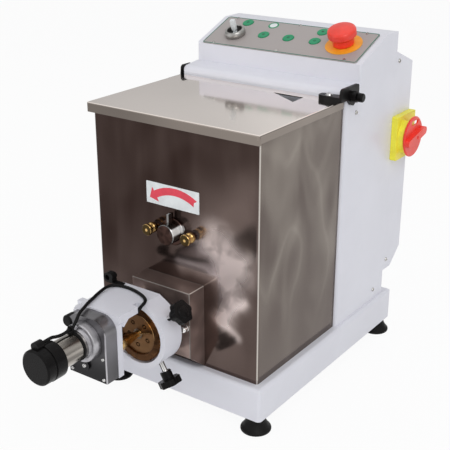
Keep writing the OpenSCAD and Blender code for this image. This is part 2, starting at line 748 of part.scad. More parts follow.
module die() color("peru") {
    pitch_angle = 360 / die_holes;
    difference() {
        turned_y(0, auger_z, [[0, die_y], [ring_lip - 0.4, die_y], [ring_lip - 0.4, die_y + 0.2],
            [die_dia / 2, die_y + 0.2],
            [die_dia / 2, die_y + die_t], [0, die_y + die_t]]);
        for (k = [0 : die_holes - 1]) rotate_about_barrel(pitch_angle * k - 22) {
            bar_y(die_pitch, auger_z, die_y - eps, die_y + die_t + eps, insert_r);
            bar_y(die_pitch, auger_z, die_y + 5, die_y + die_t + eps, insert_r + 1.6);
        }
    }
    for (k = [0 : die_holes - 1]) rotate_about_barrel(pitch_angle * k - 22) {
        bar_y(die_pitch, auger_z, die_y, die_y + die_t - 2, insert_pin);
        translate([die_pitch - insert_r - 2, die_y + die_t - 3, auger_z - 1]) cube([2 * insert_r + 4, 3, 2]);
    }
}

module auger() color("silver") {
    flight_y0 = die_y + die_t + 3;
    flight_y1 = case_y0 - 18;
    turns = (flight_y1 - flight_y0) / auger_pitch;
    core_r = 13;
    tip_r = auger_dia / 2;
    translate([0, flight_y0, auger_z]) rotate([-90, 0, 0])
        linear_extrude(flight_y1 - flight_y0, twist = 360 * turns, slices = round(turns * 12))
            polygon(concat([for (a = [-22 : 11 : 22]) tip_r * [cos(a), sin(a)]],
                [for (a = [36 : 24 : 324]) core_r * [cos(a), sin(a)]]));
    bar_y(0, auger_z, flight_y1 - eps, case_y1 + 6, auger_shaft_r);
}

// Place along the shaft and turn of each mixing arm
function arm_place(k) = 38 + 28 * k;
function arm_turn(k) = 60 * k + 15;

module mixer_shaft() color("silver") {
    turned_y(0, mixer_z, [[0, casing_front - 6], [hub_bore - 0.8, casing_front - 6], [hub_bore, casing_front - 5],
        [hub_bore, trough_y0 + 7], [shaft_r, trough_y0 + 7], [shaft_r, case_y1 + 6], [0, case_y1 + 6]]);
    for (k = [0 : 5]) translate([0, arm_place(k), mixer_z]) rotate([0, arm_turn(k), 0]) {
        cylinder(r = 5, h = 2 * (trough_r - 8), center = true);
        for (end = [-1, 1]) translate([-3, -9, end * (trough_r - 14) - 9]) cube([6, 18, 18]);
    }
}

// ---------- Drive ----------

module main_gear(z, teeth, first, bore) color("gray")
    difference() {
        union() {
            slab_y(gear_y, gear_y + gear_t) translate([0, z]) polygon(gear_points(teeth, gear_module, first));
            bar_y(0, z, gear_y - 2, gear_y + gear_t + 4, bore + 8);
        }
        bar_y(0, z, gear_y - 3, gear_y + gear_t + 5, bore);
        if (teeth > 40) for (k = [0 : 5]) translate([0, 0, z]) rotate([0, 60 * k, 0])
            bar_y(42, 0, gear_y - eps, gear_y + gear_t + eps, 13);
    }

module mixer_gear() main_gear(mixer_z, mixer_teeth, -90, shaft_r);
module auger_gear() main_gear(auger_z, auger_teeth, 90 + 180 / auger_teeth, auger_shaft_r);

module motor_pinion() color("gray") {
    slab_y(gear_y, gear_y + gear_t)
        translate([0, motor_z]) polygon(gear_points(pinion_teeth, gear_module, -90 + 180 / pinion_teeth));
    bar_y(0, motor_z, gear_y - 2, case_y1 + 20, 10);
}

module gearbox_case() color("slategray") {
    low = [-84, base_top + 6];
    high = [84, 384];
    difference() {
        slab_y(case_y0, case_y1) round_rect(low, high, 24);
        slab_y(case_y0 + case_wall, case_y1 - case_wall)
            round_rect(low + [case_wall, case_wall], high - [case_wall, case_wall], 18);
        for (z = [mixer_z, auger_z]) {
            bar_y(0, z, case_y0 - eps, case_y1 + eps, auger_shaft_r + 2);
            bar_y(0, z, case_y0 + case_wall - bearing_w + 3, case_y0 + case_wall + eps, bearing_r);
            bar_y(0, z, case_y1 - case_wall - eps, case_y1 - case_wall + bearing_w - 3, bearing_r);
        }
        bar_y(0, motor_z, case_y1 - case_wall - eps, case_y1 + eps, 12);
    }
    for (x = [-60, 60], z = [110, 350]) bar_y(x, z, case_y0 + case_wall - eps, case_y1 - case_wall + eps, 6);
}

module shaft_bearings() color("silver")
    for (z = [mixer_z, auger_z], y = [case_y0 + case_wall - bearing_w + 3, case_y1 - case_wall]) {
        r = z == mixer_z ? shaft_r : auger_shaft_r;
        turned_y(0, z, [[r + fit, y], [r + 2.6, y], [r + 2.6, y + 1], [bearing_r - 2.6, y + 1],
            [bearing_r - 2.6, y],
            [bearing_r, y], [bearing_r, y + 7], [bearing_r - 2.6, y + 7], [bearing_r - 2.6, y + 6],
            [r + 2.6, y + 6], [r + 2.6, y + 7], [r + fit, y + 7]]);
    }

module drive_motor() color("slategray")
    difference() {
        union() {
            bar_y(0, motor_z, case_y1, case_y1 + 8, 44);
            bar_y(0, motor_z, case_y1 + 8, motor_y1, motor_r - 6);
            for (k = [0 : 23]) translate([0, 0, motor_z]) rotate([0, 15 * k, 0])
                translate([motor_r - 8, case_y1 + 14, -1.4]) cube([8, 84, 2.8]);
            bar_y(0, motor_z, case_y1 + 102, motor_y1, motor_r);
            translate([-30, case_y1 + 30, motor_z - motor_r - 18]) cube([60, 56, 26]);
        }
        bar_y(0, motor_z, case_y1 - eps, case_y1 + 24, 10.5);
    }

module cable_gland() color("dimgray")
    difference() {
        turned_y(-60, 88, [[0, column_back - 6], [7.8, column_back - 6], [7.8, column_back], [11, column_back],
            [11, column_back + 6], [9, column_back + 7], [8.5, column_back + 15], [7, column_back + 17],
            [0, column_back + 17]]);
        bar_y(-60, 88, column_back - 7, column_back + 18, 4.5);
    }

// ---------- Lid and hinge ----------

module lid() color("silver") {
    half = lid_w / 2;
    side_lip = lid_lip - 2;
    difference() {
        folded_block([-half, lid_front, lid_top - lid_lip], [half, lid_back, lid_top], 3, 2.2);
        translate([-half + steel, lid_front + steel, lid_top - lid_lip - eps])
            cube([lid_w - 2 * steel, lid_back, lid_lip + eps - steel]);
        translate([-half - eps, lid_front + 4, lid_top - lid_lip - eps])
            cube([lid_w + 2 * eps, lid_back, lid_lip - side_lip + eps]);
        translate([0, 0, lid_top - 5]) linear_extrude(10) polygon([[35, 186], [83, 185], [84.5, 156.5]]);
    }
}

module hinge_ear_outline()
    polygon([[leaf_y0, lid_top + 4], [leaf_y0 + 1.5, 420], [leaf_y0 + 5, 422.5], [229, 422.5], [232, 421],
        [232.6, 412], [222, 397.5], [218, 395.5], [212, 397.5], [203.5, lid_top + gap], [leaf_y0, lid_top + gap]]);

module hinge_right() color("black")
    difference() {
        union() {
            translate([0, 0, lid_top]) linear_extrude(leaf_t)
                polygon([[leaf_x + 3, leaf_y0 + 2], [leaf_x + 16, leaf_y0], [ear_in + 1, leaf_y0],
                    [ear_in + 1, leaf_y1],
                    [leaf_x + 6, leaf_y1], [leaf_x, leaf_y1 - 3], [leaf_x, leaf_y0 + 5]]);
            slab_x(ear_in, ear_out) hinge_ear_outline();
            bar_x(hinge_y, hinge_z, ear_out - eps, ear_out + 8, 7);
            translate([ear_out + 1.6, hinge_y, hinge_z]) rotate([0, 90, 0]) cylinder(r = 8, h = 3.6, $fn = 6);
        }
        bar_x(hinge_y, hinge_z, ear_in - eps, ear_out + 10, hinge_pin_r + fit);
    }

// The left ear is screwed to the side of the lid
module hinge_left() color("black")
    mirror([1, 0, 0]) {
        slab_x(ear_in, ear_in + ear_left_t)
            polygon([[176, 394.5], [176, 403.4], [205, 403.4], [206, 414], [209, 417], [227, 417], [230, 414],
                [229, 405], [221, 396], [214, 394.5]]);
        slab_x(lid_w / 2, ear_in + eps) translate([178, 395.5]) square([22, 6.5]);
        bar_x(hinge_y, hinge_z, half_w - 6, ear_in + eps, hinge_pin_r);
    }

module hinge_screws() color("silver") {
    translate([leaf_x + 14, (leaf_y0 + leaf_y1) / 2, lid_top + leaf_t]) pan_screw(5, 2.4);
    for (y = [182, 195]) translate([-ear_in - ear_left_t, y, 399]) rotate([0, -90, 0]) pan_screw(3.4, 1.8);
}

module hinge_plunger() color("black") {
    bar_x(hinge_y, hinge_z, half_w - 6, ear_out + 10, hinge_pin_r);
    turned_x(hinge_y, hinge_z, [[0, ear_out + 8.4], [4.6, ear_out + 8.4], [6, ear_out + 9.8], [6, ear_out + 15.6],
        [4.8, ear_out + 17], [0, ear_out + 17]]);
}

// ---------- Cutter ----------

module collar_outline() {
    tangent = [collar_r * cos(crown_angle), auger_z + collar_r * sin(crown_angle)];
    crown_x = (collar_r - (arm_top - auger_z) * sin(crown_angle)) / cos(crown_angle);
    translate([0, auger_z]) circle(collar_r);
    polygon([[0, auger_z], tangent, [crown_x, arm_top], [-collar_r + 6, arm_top], [-collar_r + 6, auger_z + 20]]);
}

module wall_outline() {
    polygon([[arm_left + 18, arm_low], [wall_right, arm_low], [wall_right, arm_top - arm_t - 4],
        [arm_right, arm_top - arm_t], [arm_right, arm_top], [arm_left + 18, arm_top]]);
    translate([arm_left, arm_low]) square([30, arm_top - arm_low - 18]);
    translate([arm_left + 18, arm_top - 18]) circle(18);
}

module arm_section()
    difference() {
        wall_outline();
        translate([arm_left + arm_t, arm_low - eps]) square([200, arm_top - arm_t - arm_low - 10 + eps]);
        translate([arm_left + arm_t + 10, arm_top - arm_t - 20]) square([200, 20]);
        translate([arm_left + arm_t + 10, arm_top - arm_t - 10]) circle(10);
        translate([arm_left - eps, arm_low - eps]) square([100, 62]);
    }

module cutter_bracket() color("white")
    difference() {
        union() {
            slab_y(collar_front, collar_back) collar_outline();
            slab_y(wall_front, collar_back) arm_section();
            slab_y(wall_front, wall_back) wall_outline();
            slab_x(arm_left + 1, arm_right)
                polygon([[wall_back - eps, arm_top - arm_t - 8], [wall_back - eps, arm_top - 2],
                    [wall_back + 8, arm_top - 2], [wall_back + 8, arm_top - arm_t]]);
        }
        bar_y(0, auger_z, collar_front - eps, collar_back + eps, collar_bore);
        bar_y(0, auger_z, collar_front - eps, recess_y, recess_r);
        translate([4, collar_front - 9.4, arm_top - arm_t - eps]) cube([arm_right, 9.4, arm_t + 2 * eps]);
        bar_y(0, auger_z, wall_front - eps, wall_back + eps, cutter_shaft_r + fit);
        bar_y(motor_x, motor_axis_z, wall_front - eps, wall_front + 6, motor_shaft_r + fit);
        for (angle = knob_angles) rotate_about_barrel(angle)
            bar_x(knob_y, auger_z, collar_bore - 2, collar_r + 6, clamp_stud_r + fit);
        bar_y(lead_hole.x, lead_hole.y, wall_back - 0.2, wall_back + eps, cable_r + gap);
    }

// Tip radius of a cutter gear with room to turn
function gear_clear(teeth) = cutter_module * (teeth / 2 + 1) + gap;

module gear_case() color("gray")
    difference() {
        union() {
            slab_y(case_front, wall_front)
                arched_rect([case_left, arm_low + 0.5], [case_right, case_top], case_corner);
            turned_y(motor_x, motor_axis_z, [[0, case_front + 1], [25.5, case_front + 1], [25.5, case_front - 9.5],
                [24.6, case_front - 11.4], [22.5, case_front - 12.2], [21, case_front - 12.2],
                [20.2, case_front - 16.5], [0, case_front - 16.5]]);
            bar_y(-27, 116.5, case_front - 2.5, case_front + eps, 7);
            bar_y(plug.x, plug.y, wall_front - 10, wall_front, plug_r - 0.5);
        }
        bar_y(plug.x, plug.y, case_front - eps, wall_front - 10, plug_r + 0.1);
        bar_y(motor_x, motor_axis_z, case_front - 18, pocket_y + eps, cutter_motor_dia / 2);
        bar_y(motor_x, motor_axis_z, pocket_y, wall_front + eps, gear_clear(cutter_teeth));
        bar_y(0, auger_z, pocket_y, wall_front + eps, gear_clear(cutter_pinion_teeth));
        bar_y(0, auger_z, pocket_y - 3, pocket_y + eps, cutter_shaft_r + fit);
    }

module case_screws() color("silver") {
    for (spot = [[2.5, 104.5], [-50, 104.5], [2.5, 133], [-50, 133]])
        translate([spot.x, case_front, spot.y]) rotate([90, 0, 0]) pan_screw(2.4, 1.6);
    translate([-27, case_front - 2.5, 116.5]) rotate([90, 0, 0]) pan_screw(3, 1.8);
}

module cutter_motor() color("silver")
    difference() {
        turned_y(motor_x, motor_axis_z, [[0, tube_end], [cutter_motor_dia / 2 - 1, tube_end],
            [cutter_motor_dia / 2, tube_end + 1], [cutter_motor_dia / 2, pocket_y], [0, pocket_y]]);
        bar_y(motor_x, motor_axis_z, pocket_y - 20, pocket_y + eps, motor_shaft_r + fit);
    }

module motor_cap() color("black")
    difference() {
        union() {
            turned_y(motor_x, motor_axis_z, [[0, cap_end], [cap_r - 3, cap_end], [cap_r - 0.8, cap_end + 2],
                [cap_r - 0.6, -207.5], [cap_r - 1.2, -207], [cap_r - 1.2, -206], [cap_r, -205.5],
                [cap_r, cap_start - 1.5], [cap_r - 1.5, cap_start], [0, cap_start]]);
            bar_y(cable_route[0].x, cable_route[0].z - 0.6, -215, -204, 6);
        }
        bar_y(motor_x, motor_axis_z, tube_end, cap_start + eps, cutter_motor_dia / 2);
        bar_y(cable_route[0].x, cable_route[0].z, cable_route[0].y - 1.5, cap_start + eps, cable_r + gap);
    }

module cutter_cable() color("black") tube(cable_route, cable_r, 8);

module cable_clips() color("dimgray") {
    tie_z = 174.9;
    slab_y(-157.5, -154) difference() {
        union() {
            translate([motor_x, motor_axis_z]) circle(cutter_motor_dia / 2 + 1.2);
            translate([-28, tie_z]) circle(cable_r + 1.5);
            translate([-28 - cable_r - 1.5, 164]) square([2 * cable_r + 3, tie_z - 164]);
        }
        translate([motor_x, motor_axis_z]) circle(cutter_motor_dia / 2);
        translate([-28, tie_z]) circle(cable_r + gap);
    }
    slab_y(-48, -39) difference() {
        union() {
            translate([-66, 191.5]) circle(6.5);
            translate([-66, 185]) square([8.6, 4]);
            translate([-66, 193.6]) square([6.5, 4.4]);
            translate([-60.5, 188.5]) circle(3.2);
            translate([-60.7, 193.9]) circle(4.1);
            translate([-66, arm_top]) square([23, 1.6]);
        }
        translate([-66, 191.5]) circle(3.6);
    }
    turned_y(plug.x, plug.y, [[0, case_front - 2], [plug_r - 2, case_front - 2], [plug_r, case_front],
        [plug_r, wall_front - 10], [0, wall_front - 10]]);
}

// Direction from the motor's axis to the cutter's axis
mesh_angle = atan2(-motor_dz, -motor_x);

module cutter_gear() color("gray") {
    slab_y(cutter_gear_y[0], cutter_gear_y[1]) translate([motor_x, motor_axis_z])
        polygon(gear_points(cutter_teeth, cutter_module, mesh_angle));
    bar_y(motor_x, motor_axis_z, pocket_y - 18, wall_front + 5, motor_shaft_r);
}

module cutter_shaft() color("silver") {
    slab_y(cutter_gear_y[0], cutter_gear_y[1]) translate([0, auger_z])
        polygon(gear_points(cutter_pinion_teeth, cutter_module, 180 + mesh_angle + 180 / cutter_pinion_teeth));
    bar_y(0, auger_z, pocket_y - 2.5, die_y - 2.4, cutter_shaft_r);
}

module cutter_hub() color("goldenrod")
    difference() {
        turned_y(0, auger_z, [[0, wall_back + 0.4], [8.4, wall_back + 0.4], [8.4, -97], [5, -75.4], [5, -73.6],
            [4.4, -73], [4.4, die_y - 1.3], [0, die_y - 1.3]]);
        bar_y(0, auger_z, wall_back, die_y - 2.4, cutter_shaft_r);
    }

// Two thin blades set on edge, joined by a washer over the end of the hub
module cutter_blades() color("silver") {
    bar_y(0, auger_z, die_y - 1.2, die_y - 0.5, washer_r);
    for (side = [0, 180]) rotate_about_barrel(blade_angle + side)
        slab_x(blade_in, blade_reach) translate([die_y, auger_z])
            polygon([[-0.6, -2.4], [-0.6, -1.5], [-7.4, 2.2], [-7.6, 1.4], [-1.2, -2.2]]);
}

module clamp_knob(which) color("black")
    rotate_about_barrel(knob_angles[which]) {
        hub = collar_r + 10.5 + knob_reach[which];
        head = hub + 12;
        bar_x(knob_y, auger_z, collar_bore + gap, hub + 2, clamp_stud_r);
        turned_x(knob_y, auger_z, [[0, hub], [6.8, hub], [7.4, hub + 1], [7.6, head], [0, head]]);
        slab_x(head - eps, head + 8) translate([knob_y, auger_z]) {
            circle(knob_dia / 2 - 1.8);
            for (k = [0 : 5]) rotate(60 * k) translate([knob_dia / 2 - 5, 0]) circle(5);
        }
        turned_x(knob_y, auger_z, [[0, head + 7], [9, head + 7], [7.5, head + 8.6], [0, head + 9]]);
    }

// ---------- The assembly ----------

placed() base_pan();
placed() foot(-1, -1);  // foot_front_left
placed() foot(1, -1);  // foot_front_right
placed() foot(-1, 1);  // foot_rear_left
placed() foot(1, 1);  // foot_rear_right
placed() column_housing();
placed() rear_cover();
placed() panel_screws();
placed() control_plate();
placed() toggle_bezel();
placed() estop_ring();
placed() switch_plate();
placed() switch_blocks();
placed() arrow_label();
placed() casing();
placed() trough();
placed() barrel_cover();
placed() barrel();
placed() barrel_bolts();
placed() die();
placed() front_hub();
placed() drive_motor();
placed() gearbox_case();
placed() shaft_bearings();
placed() cable_gland();
placed() ring_nut();
placed() lid();
placed() hinge_right();
placed() hinge_left();
placed() hinge_screws();
placed() hinge_plunger();
placed() mixer_shaft();
placed() mixer_gear();
placed() auger();
placed() auger_gear();
placed() motor_pinion();
placed() thumb_nut(-1);  // thumb_nut_left
placed() thumb_nut(1);  // thumb_nut_right
placed() cutter_bracket();
placed() gear_case();
placed() cutter_motor();
placed() motor_cap();
placed() cutter_cable();
placed() cable_clips();
placed() case_screws();
placed() cutter_gear();
placed() cutter_shaft();
placed() cutter_hub();
placed() cutter_blades();
placed() clamp_knob(0);  // clamp_knob_upper
placed() clamp_knob(1);  // clamp_knob_lower
placed() toggle_lever();
placed() estop_stem();
placed() estop_head();
placed() switch_handle();
placed() panel_key(0);  // key_mix
placed() panel_key(1);  // key_extrude
placed() panel_key(2);  // key_cut
placed() panel_key(3);  // key_fan
placed() panel_key(4);  // key_stop
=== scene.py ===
"""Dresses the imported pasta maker: softened edges, printed marks, the cutter lead and all finishes."""

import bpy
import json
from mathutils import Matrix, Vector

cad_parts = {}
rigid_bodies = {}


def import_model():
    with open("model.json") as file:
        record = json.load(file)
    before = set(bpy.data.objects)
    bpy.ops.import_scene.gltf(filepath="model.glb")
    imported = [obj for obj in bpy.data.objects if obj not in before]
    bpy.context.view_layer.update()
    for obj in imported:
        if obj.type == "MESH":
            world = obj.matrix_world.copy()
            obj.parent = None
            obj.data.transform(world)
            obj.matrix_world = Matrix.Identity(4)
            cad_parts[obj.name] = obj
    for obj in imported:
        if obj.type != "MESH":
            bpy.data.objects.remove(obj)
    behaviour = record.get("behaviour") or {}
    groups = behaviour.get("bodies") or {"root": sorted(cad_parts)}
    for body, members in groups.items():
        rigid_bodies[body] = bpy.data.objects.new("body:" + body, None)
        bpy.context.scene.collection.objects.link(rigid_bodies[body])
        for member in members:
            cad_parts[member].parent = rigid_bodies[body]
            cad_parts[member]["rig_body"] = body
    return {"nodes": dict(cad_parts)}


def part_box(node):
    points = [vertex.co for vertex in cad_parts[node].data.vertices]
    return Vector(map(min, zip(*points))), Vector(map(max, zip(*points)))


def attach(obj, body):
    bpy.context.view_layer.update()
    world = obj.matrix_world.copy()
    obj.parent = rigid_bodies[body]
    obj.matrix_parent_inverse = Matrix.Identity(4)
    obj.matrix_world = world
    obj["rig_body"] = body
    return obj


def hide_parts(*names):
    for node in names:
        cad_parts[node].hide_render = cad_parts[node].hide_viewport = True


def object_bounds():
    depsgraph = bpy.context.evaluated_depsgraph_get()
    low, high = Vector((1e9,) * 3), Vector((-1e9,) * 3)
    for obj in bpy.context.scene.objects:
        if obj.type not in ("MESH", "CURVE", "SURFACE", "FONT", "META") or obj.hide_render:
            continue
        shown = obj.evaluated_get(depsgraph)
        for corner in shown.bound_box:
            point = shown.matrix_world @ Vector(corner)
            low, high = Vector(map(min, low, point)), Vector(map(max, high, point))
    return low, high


bl_info = {
    "name": "Pasta maker dressing",
    "version": (1, 0, 0),
    "blender": (4, 5, 0),
    "location": "3D View > Sidebar > Pasta maker",
    "description": "Edges, printed marks, cutter lead, finishes and studio for the pasta maker",
    "category": "Object",
}

import json
import math

import bmesh
import bpy
from bpy.props import FloatProperty, FloatVectorProperty, PointerProperty
from mathutils import Matrix, Vector

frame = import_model()
cad_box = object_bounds()

MM = 0.001


# ---------- Sizes and colours ----------


def colour(name, description, default):
    return FloatVectorProperty(name=name, description=description, default=default, subtype="COLOR",
                               size=3, min=0.0, max=1.0)


def length(name, description, default):
    return FloatProperty(name=name, description=description, default=default, min=0.0, subtype="DISTANCE",
                         unit="LENGTH")


class EdgeSizes(bpy.types.PropertyGroup):
    """How far the edges of each kind of piece are softened."""

    folded: length("Folded sheet", "Softening of the edges of folded sheet", 0.7 * MM)
    cast: length("Castings", "Softening of the edges of painted castings", 2.2 * MM)
    turned: length("Turned parts", "Softening of the edges of turned metal", 0.35 * MM)
    moulded: length("Moulded parts", "Softening of the edges of moulded plastic", 0.8 * MM)
    small: length("Small parts", "Softening of the edges of screws and keys", 0.15 * MM)


class PrintSizes(bpy.types.PropertyGroup):
    """Sizes of what is printed on the machine."""

    border: length("Border line", "Width of the green line round the control plate", 1.25 * MM)
    border_inset: length("Border inset", "Distance of the green line from the edge of the plate", 0.35 * MM)
    ink: length("Ink", "Thickness of printed marks", 0.12 * MM)
    arrow_band: length("Arrow band", "Width of the curved arrow on the label", 10.0 * MM)
    arrow_head: length("Arrow head", "Width of the head of the curved arrow", 21.0 * MM)
    key_mark: length("Key mark", "Radius of the dark mark on a key", 2.0 * MM)
    tab: length("Switch tab", "Side of the red tab on the main switch plate", 7.0 * MM)


class Palette(bpy.types.PropertyGroup):
    """Colours of the finishes."""

    enamel: colour("Enamel", "White enamel of the column, base and bracket", (0.80, 0.795, 0.85))
    lid: colour("Lid steel", "Polished steel of the lid", (0.88, 0.80, 0.745))
    # Painted shade: the lid's own steel, darkened on its folded lips
    lip: colour("Lid lips", "Steel of the folded lips of the lid", (0.25, 0.215, 0.19))
    # Painted reflections and painted light on the casing: dark reflections, middle clouds and glow in front,
    front_dark: colour("Front steel", "Dark reflections on the front of the casing", (0.030, 0.0165, 0.0135))
    # clouds on the sides, and bend_light, a painted highlight along a folded edge
    front_mid: colour("Front clouds", "Middle clouds on the front of the casing", (0.15, 0.110, 0.098))
    front_light: colour("Front glow", "Lightest clouds on the front of the casing", (0.84, 0.71, 0.67))
    side_dark: colour("Side steel", "Darker clouds on the sides of the casing", (0.125, 0.098, 0.086))
    side_light: colour("Side clouds", "Lighter clouds on the sides of the casing", (0.29, 0.255, 0.222))
    bend_light: colour("Bend light", "Bright line along a folded edge", (0.82, 0.76, 0.70))
    chrome: colour("Chrome", "Polished chrome", (0.80, 0.79, 0.78))
    steel: colour("Machined steel", "Machined steel", (0.50, 0.49, 0.47))
    blade: colour("Blade steel", "Steel of the cutter blades", (0.22, 0.17, 0.12))
    tube: colour("Motor tube", "Brushed steel tube of the cutter motor", (0.40, 0.37, 0.335))
    alloy: colour("Cast alloy", "Grey cast alloy of the gear case", (0.23, 0.225, 0.235))
    iron: colour("Grey iron", "Painted iron inside the machine", (0.16, 0.17, 0.18))
    die: colour("Die bronze", "Dull bronze of the die", (0.25, 0.135, 0.062))
    nut: colour("Nut bronze", "Darker bronze of the ring nut", (0.30, 0.125, 0.040))
    brass: colour("Brass", "Turned brass of the nuts and the cutter hub", (0.66, 0.43, 0.17))
    black: colour("Black plastic", "Moulded black plastic", (0.0058, 0.0052, 0.0053))
    # Painted shade: steel darkened for the shade deep inside the trough
    trough: colour("Trough steel", "Steel inside the trough", (0.10, 0.086, 0.078))
    rubber: colour("Rubber", "Black rubber", (0.0045, 0.0040, 0.0040))
    red: colour("Red plastic", "Red of the stop button and the switch handle", (0.95, 0.047, 0.025))
    yellow: colour("Yellow plastic", "Yellow of the main switch plate", (0.98, 0.88, 0.060))
    orange: colour("Stop disc", "Orange-yellow of the disc under the stop button", (0.97, 0.42, 0.020))
    foil: colour("Panel foil", "Warm grey of the control plate", (0.41, 0.368, 0.352))
    green: colour("Key green", "Green of the keys", (0.004, 0.30, 0.125))
    border: colour("Border green", "Dark green of the line round the control plate", (0.008, 0.165, 0.110))
    mark: colour("Key mark", "Dark mark on a key", (0.006, 0.060, 0.030))
    label: colour("Label", "White of the arrow label", (0.80, 0.83, 0.83))
    arrow: colour("Arrow", "Red of the curved arrow", (0.80, 0.050, 0.085))


def edges():
    return bpy.context.scene.pasta_edges


def prints():
    return bpy.context.scene.pasta_prints


def paint(name):
    """A colour of the palette as four numbers."""
    return (*getattr(bpy.context.scene.pasta_palette, name), 1.0)


# ---------- Places on the machine ----------

# What a distance from a line along X, Y or Z keeps of the three directions
ALONG_X, ALONG_Y, ALONG_Z = (0.0, 1.0, 1.0), (1.0, 0.0, 1.0), (1.0, 1.0, 0.0)
# Turning marks per metre of fine turned parts
FINE_RINGS = 2600.0
# How far the motor boss stands out of the gear case, and the rim of its radius
CASE_BOSS = 16.5 * MM
BOSS_RIM = (26.0 * MM, 26.5 * MM)
# Where the bright boss of the motor tube starts, from its rear end
TUBE_BOSS = (24 * MM, 22 * MM)
# Inner lip of the ring nut, as radii, and the painted highlight on it, from the axis
NUT_LIP = (28.6 * MM, 29.6 * MM)
NUT_HIGHLIGHT = (22 * MM, 17 * MM)
# Painted highlight on the hub's side, from its axis, and start of its flange's painted dark reflection, from
# the casing's front
HUB_HIGHLIGHT = (13.4 * MM, 2.0 * MM)
HUB_FLANGE_DARK_REFLECTION = (6.0 * MM, 5.0 * MM)
# Height of the painted light low on the casing, and the start and end of the painted highlight at its bend
LOW_PAINTED_LIGHT_HEIGHT = 170 * MM
BEND_HIGHLIGHT = (1.7 * MM, 2.3 * MM)

# Painted light on the front of the casing: two ends as (x, z), and a width, all in millimetres
WIDE_BEAMS = (((56, 248), (84, 226), 58), ((70, 222), (80, 186), 42), ((80, 186), (66, 146), 32))
THIN_BEAMS = (((67, 208), (107, 247), 17), ((0, 207), (67, 208), 20), ((64, 144), (86, 127), 14),
              ((64, 143), (97, 182), 14))
DRAPE_BEAM = ((86, 236), (100, 330), 60)
# Middle of that painted light, across and up from the hub
GLOW_SHIFT = (74 * MM, -42 * MM)

# Middle of the red tab, from the lowest corner of the switch plate
TAB_SPOT = Vector((0.0155, 0.012, 0.046))
TAB_THICK = 3.0 * MM
# Running lamp, as (across, up the slope) on the control plate; radius and width of its rim, and its window
LAMP_SPOT = (-40.8 * MM, 64.4 * MM)
LAMP_RADIUS, LAMP_RIM, LAMP_WINDOW = 8.0 * MM, 2.1 * MM, 6.0 * MM
# Square of the stop key and rings of the others, as shares of the mark's radius
KEY_SQUARE, KEY_RING = 1.7, 0.45
# Corner radius of the line round the control plate
BORDER_CORNER = 3.6 * MM

# Curved arrow: radius of its middle line, start and length of its arc, where that arc is centred
# from the upper left corner of the label, length of its head and depth of its notch
ARROW_RADIUS = 62 * MM
ARROW_START, ARROW_SWEEP = math.radians(58.4), math.radians(62.0)
ARROW_CENTRE = (46.5 * MM, -69.5 * MM, 0)
ARROW_HEAD, ARROW_NOTCH = 11 * MM, 2.5 * MM

# Bright studs of the clamp knobs: radius, and how far they reach into the knob
STUD_RADIUS, STUD_REACH = 3.8 * MM, 4 * MM

# Cutter lead, from the motor cap over the bracket into its hole, in millimetres from the drawing's origin
LEAD_RADIUS = 2.1 * MM
# Middle of the machine, from the drawing's origin
DRAWING_X, DRAWING_Y = 11.25, 94
LEAD_ROUTE = [Vector((x - DRAWING_X, y - DRAWING_Y, z)) * MM for x, y, z in (
    (-28, -206, 177), (-28, -196, 177), (-28, -187, 177), (-28, -181, 175.3), (-28, -173, 173.7),
    (-28, -165, 173.6), (-28, -159, 174.7), (-28, -153, 175.2), (-28.3, -148.5, 178.2),
    (-29.2, -144, 181.6), (-31.2, -138, 185.4), (-33.4, -131, 187.3),
    (-36.4, -122, 187.7), (-41, -111, 187.5), (-45, -98, 187.4), (-49, -85, 187.3), (-52, -72, 187.3),
    (-52.8, -62, 187.3), (-50.5, -55.5, 187.3), (-45, -51.4, 187.3), (-36, -49.5, 187.3),
    (-26, -49.3, 187.3), (-17, -50.6, 187.3), (-8, -53, 187.3), (0, -56, 187.3), (7, -59.8, 187.3),
    (12.2, -64.2, 187.6), (14.8, -69, 187), (15.4, -73.2, 185.9), (14.2, -75.6, 183.4), (11.6, -75.8, 179.6),
    (8.6, -76, 175.6), (5, -78, 172.4), (0, -84, 170.2), (-5, -93, 168.6), (-8.4, -104.9, 167.9))]

# Studio: side, grey and brightness of the floor, strength of the even light, lamps and camera
FLOOR_SIDE, FLOOR_GREY, FLOOR_WHITE = 40, 0.90, 0.93
EVEN_LIGHT = 0.59
# Name, place, side of the square and watts
LAMPS = (("key", (1.6, -1.4, 2.0), 1.6, 21.0), ("fill", (-1.3, -2.1, 1.0), 1.8, 8.0),
         ("top", (0.0, 0.5, 2.6), 2.0, 5.0))
CAMERA_PLACE = Vector((0.68973, -0.95328, 0.70850))
CAMERA_TARGET = Vector((-0.06199, 0.10061, 0.18937))
CAMERA_LENS = 74.95


# ---------- Shader groups ----------


def add(tree, kind, inputs=None, **settings):
    """Adds a node; inputs are numbers, colours or the sockets that feed them."""
    node = tree.nodes.new(kind)
    for key, value in settings.items():
        setattr(node, key, value)
    for key, value in (inputs or {}).items():
        join(tree, value, node.inputs[key])
    return node


def join(tree, value, socket):
    """Links a socket, or sets a plain value."""
    if isinstance(value, bpy.types.NodeSocket):
        tree.links.new(value, socket)
    else:
        socket.default_value = value


def noise(tree, vector, scale, detail=3.0, rough=0.5, distortion=0.0):
    return add(tree, "ShaderNodeTexNoise", {"Vector": vector, "Scale": scale, "Detail": detail,
                                            "Roughness": rough, "Distortion": distortion}).outputs["Fac"]


def remap(tree, value, low, high, to_low=0.0, to_high=1.0):
    """A smooth step from low to high; the two may change places."""
    return add(tree, "ShaderNodeMapRange", {"Value": value, "From Min": low, "From Max": high,
                                            "To Min": to_low, "To Max": to_high},
               interpolation_type="SMOOTHSTEP").outputs["Result"]


def between(tree, mask, low, high):
    """Low where the mask is 0, high where it is 1."""
    return remap(tree, mask, 0.0, 1.0, low, high)


def calc(tree, operation, a, b=0.0, clamp=False):
    return add(tree, "ShaderNodeMath", {0: a, 1: b}, operation=operation, use_clamp=clamp).outputs[0]


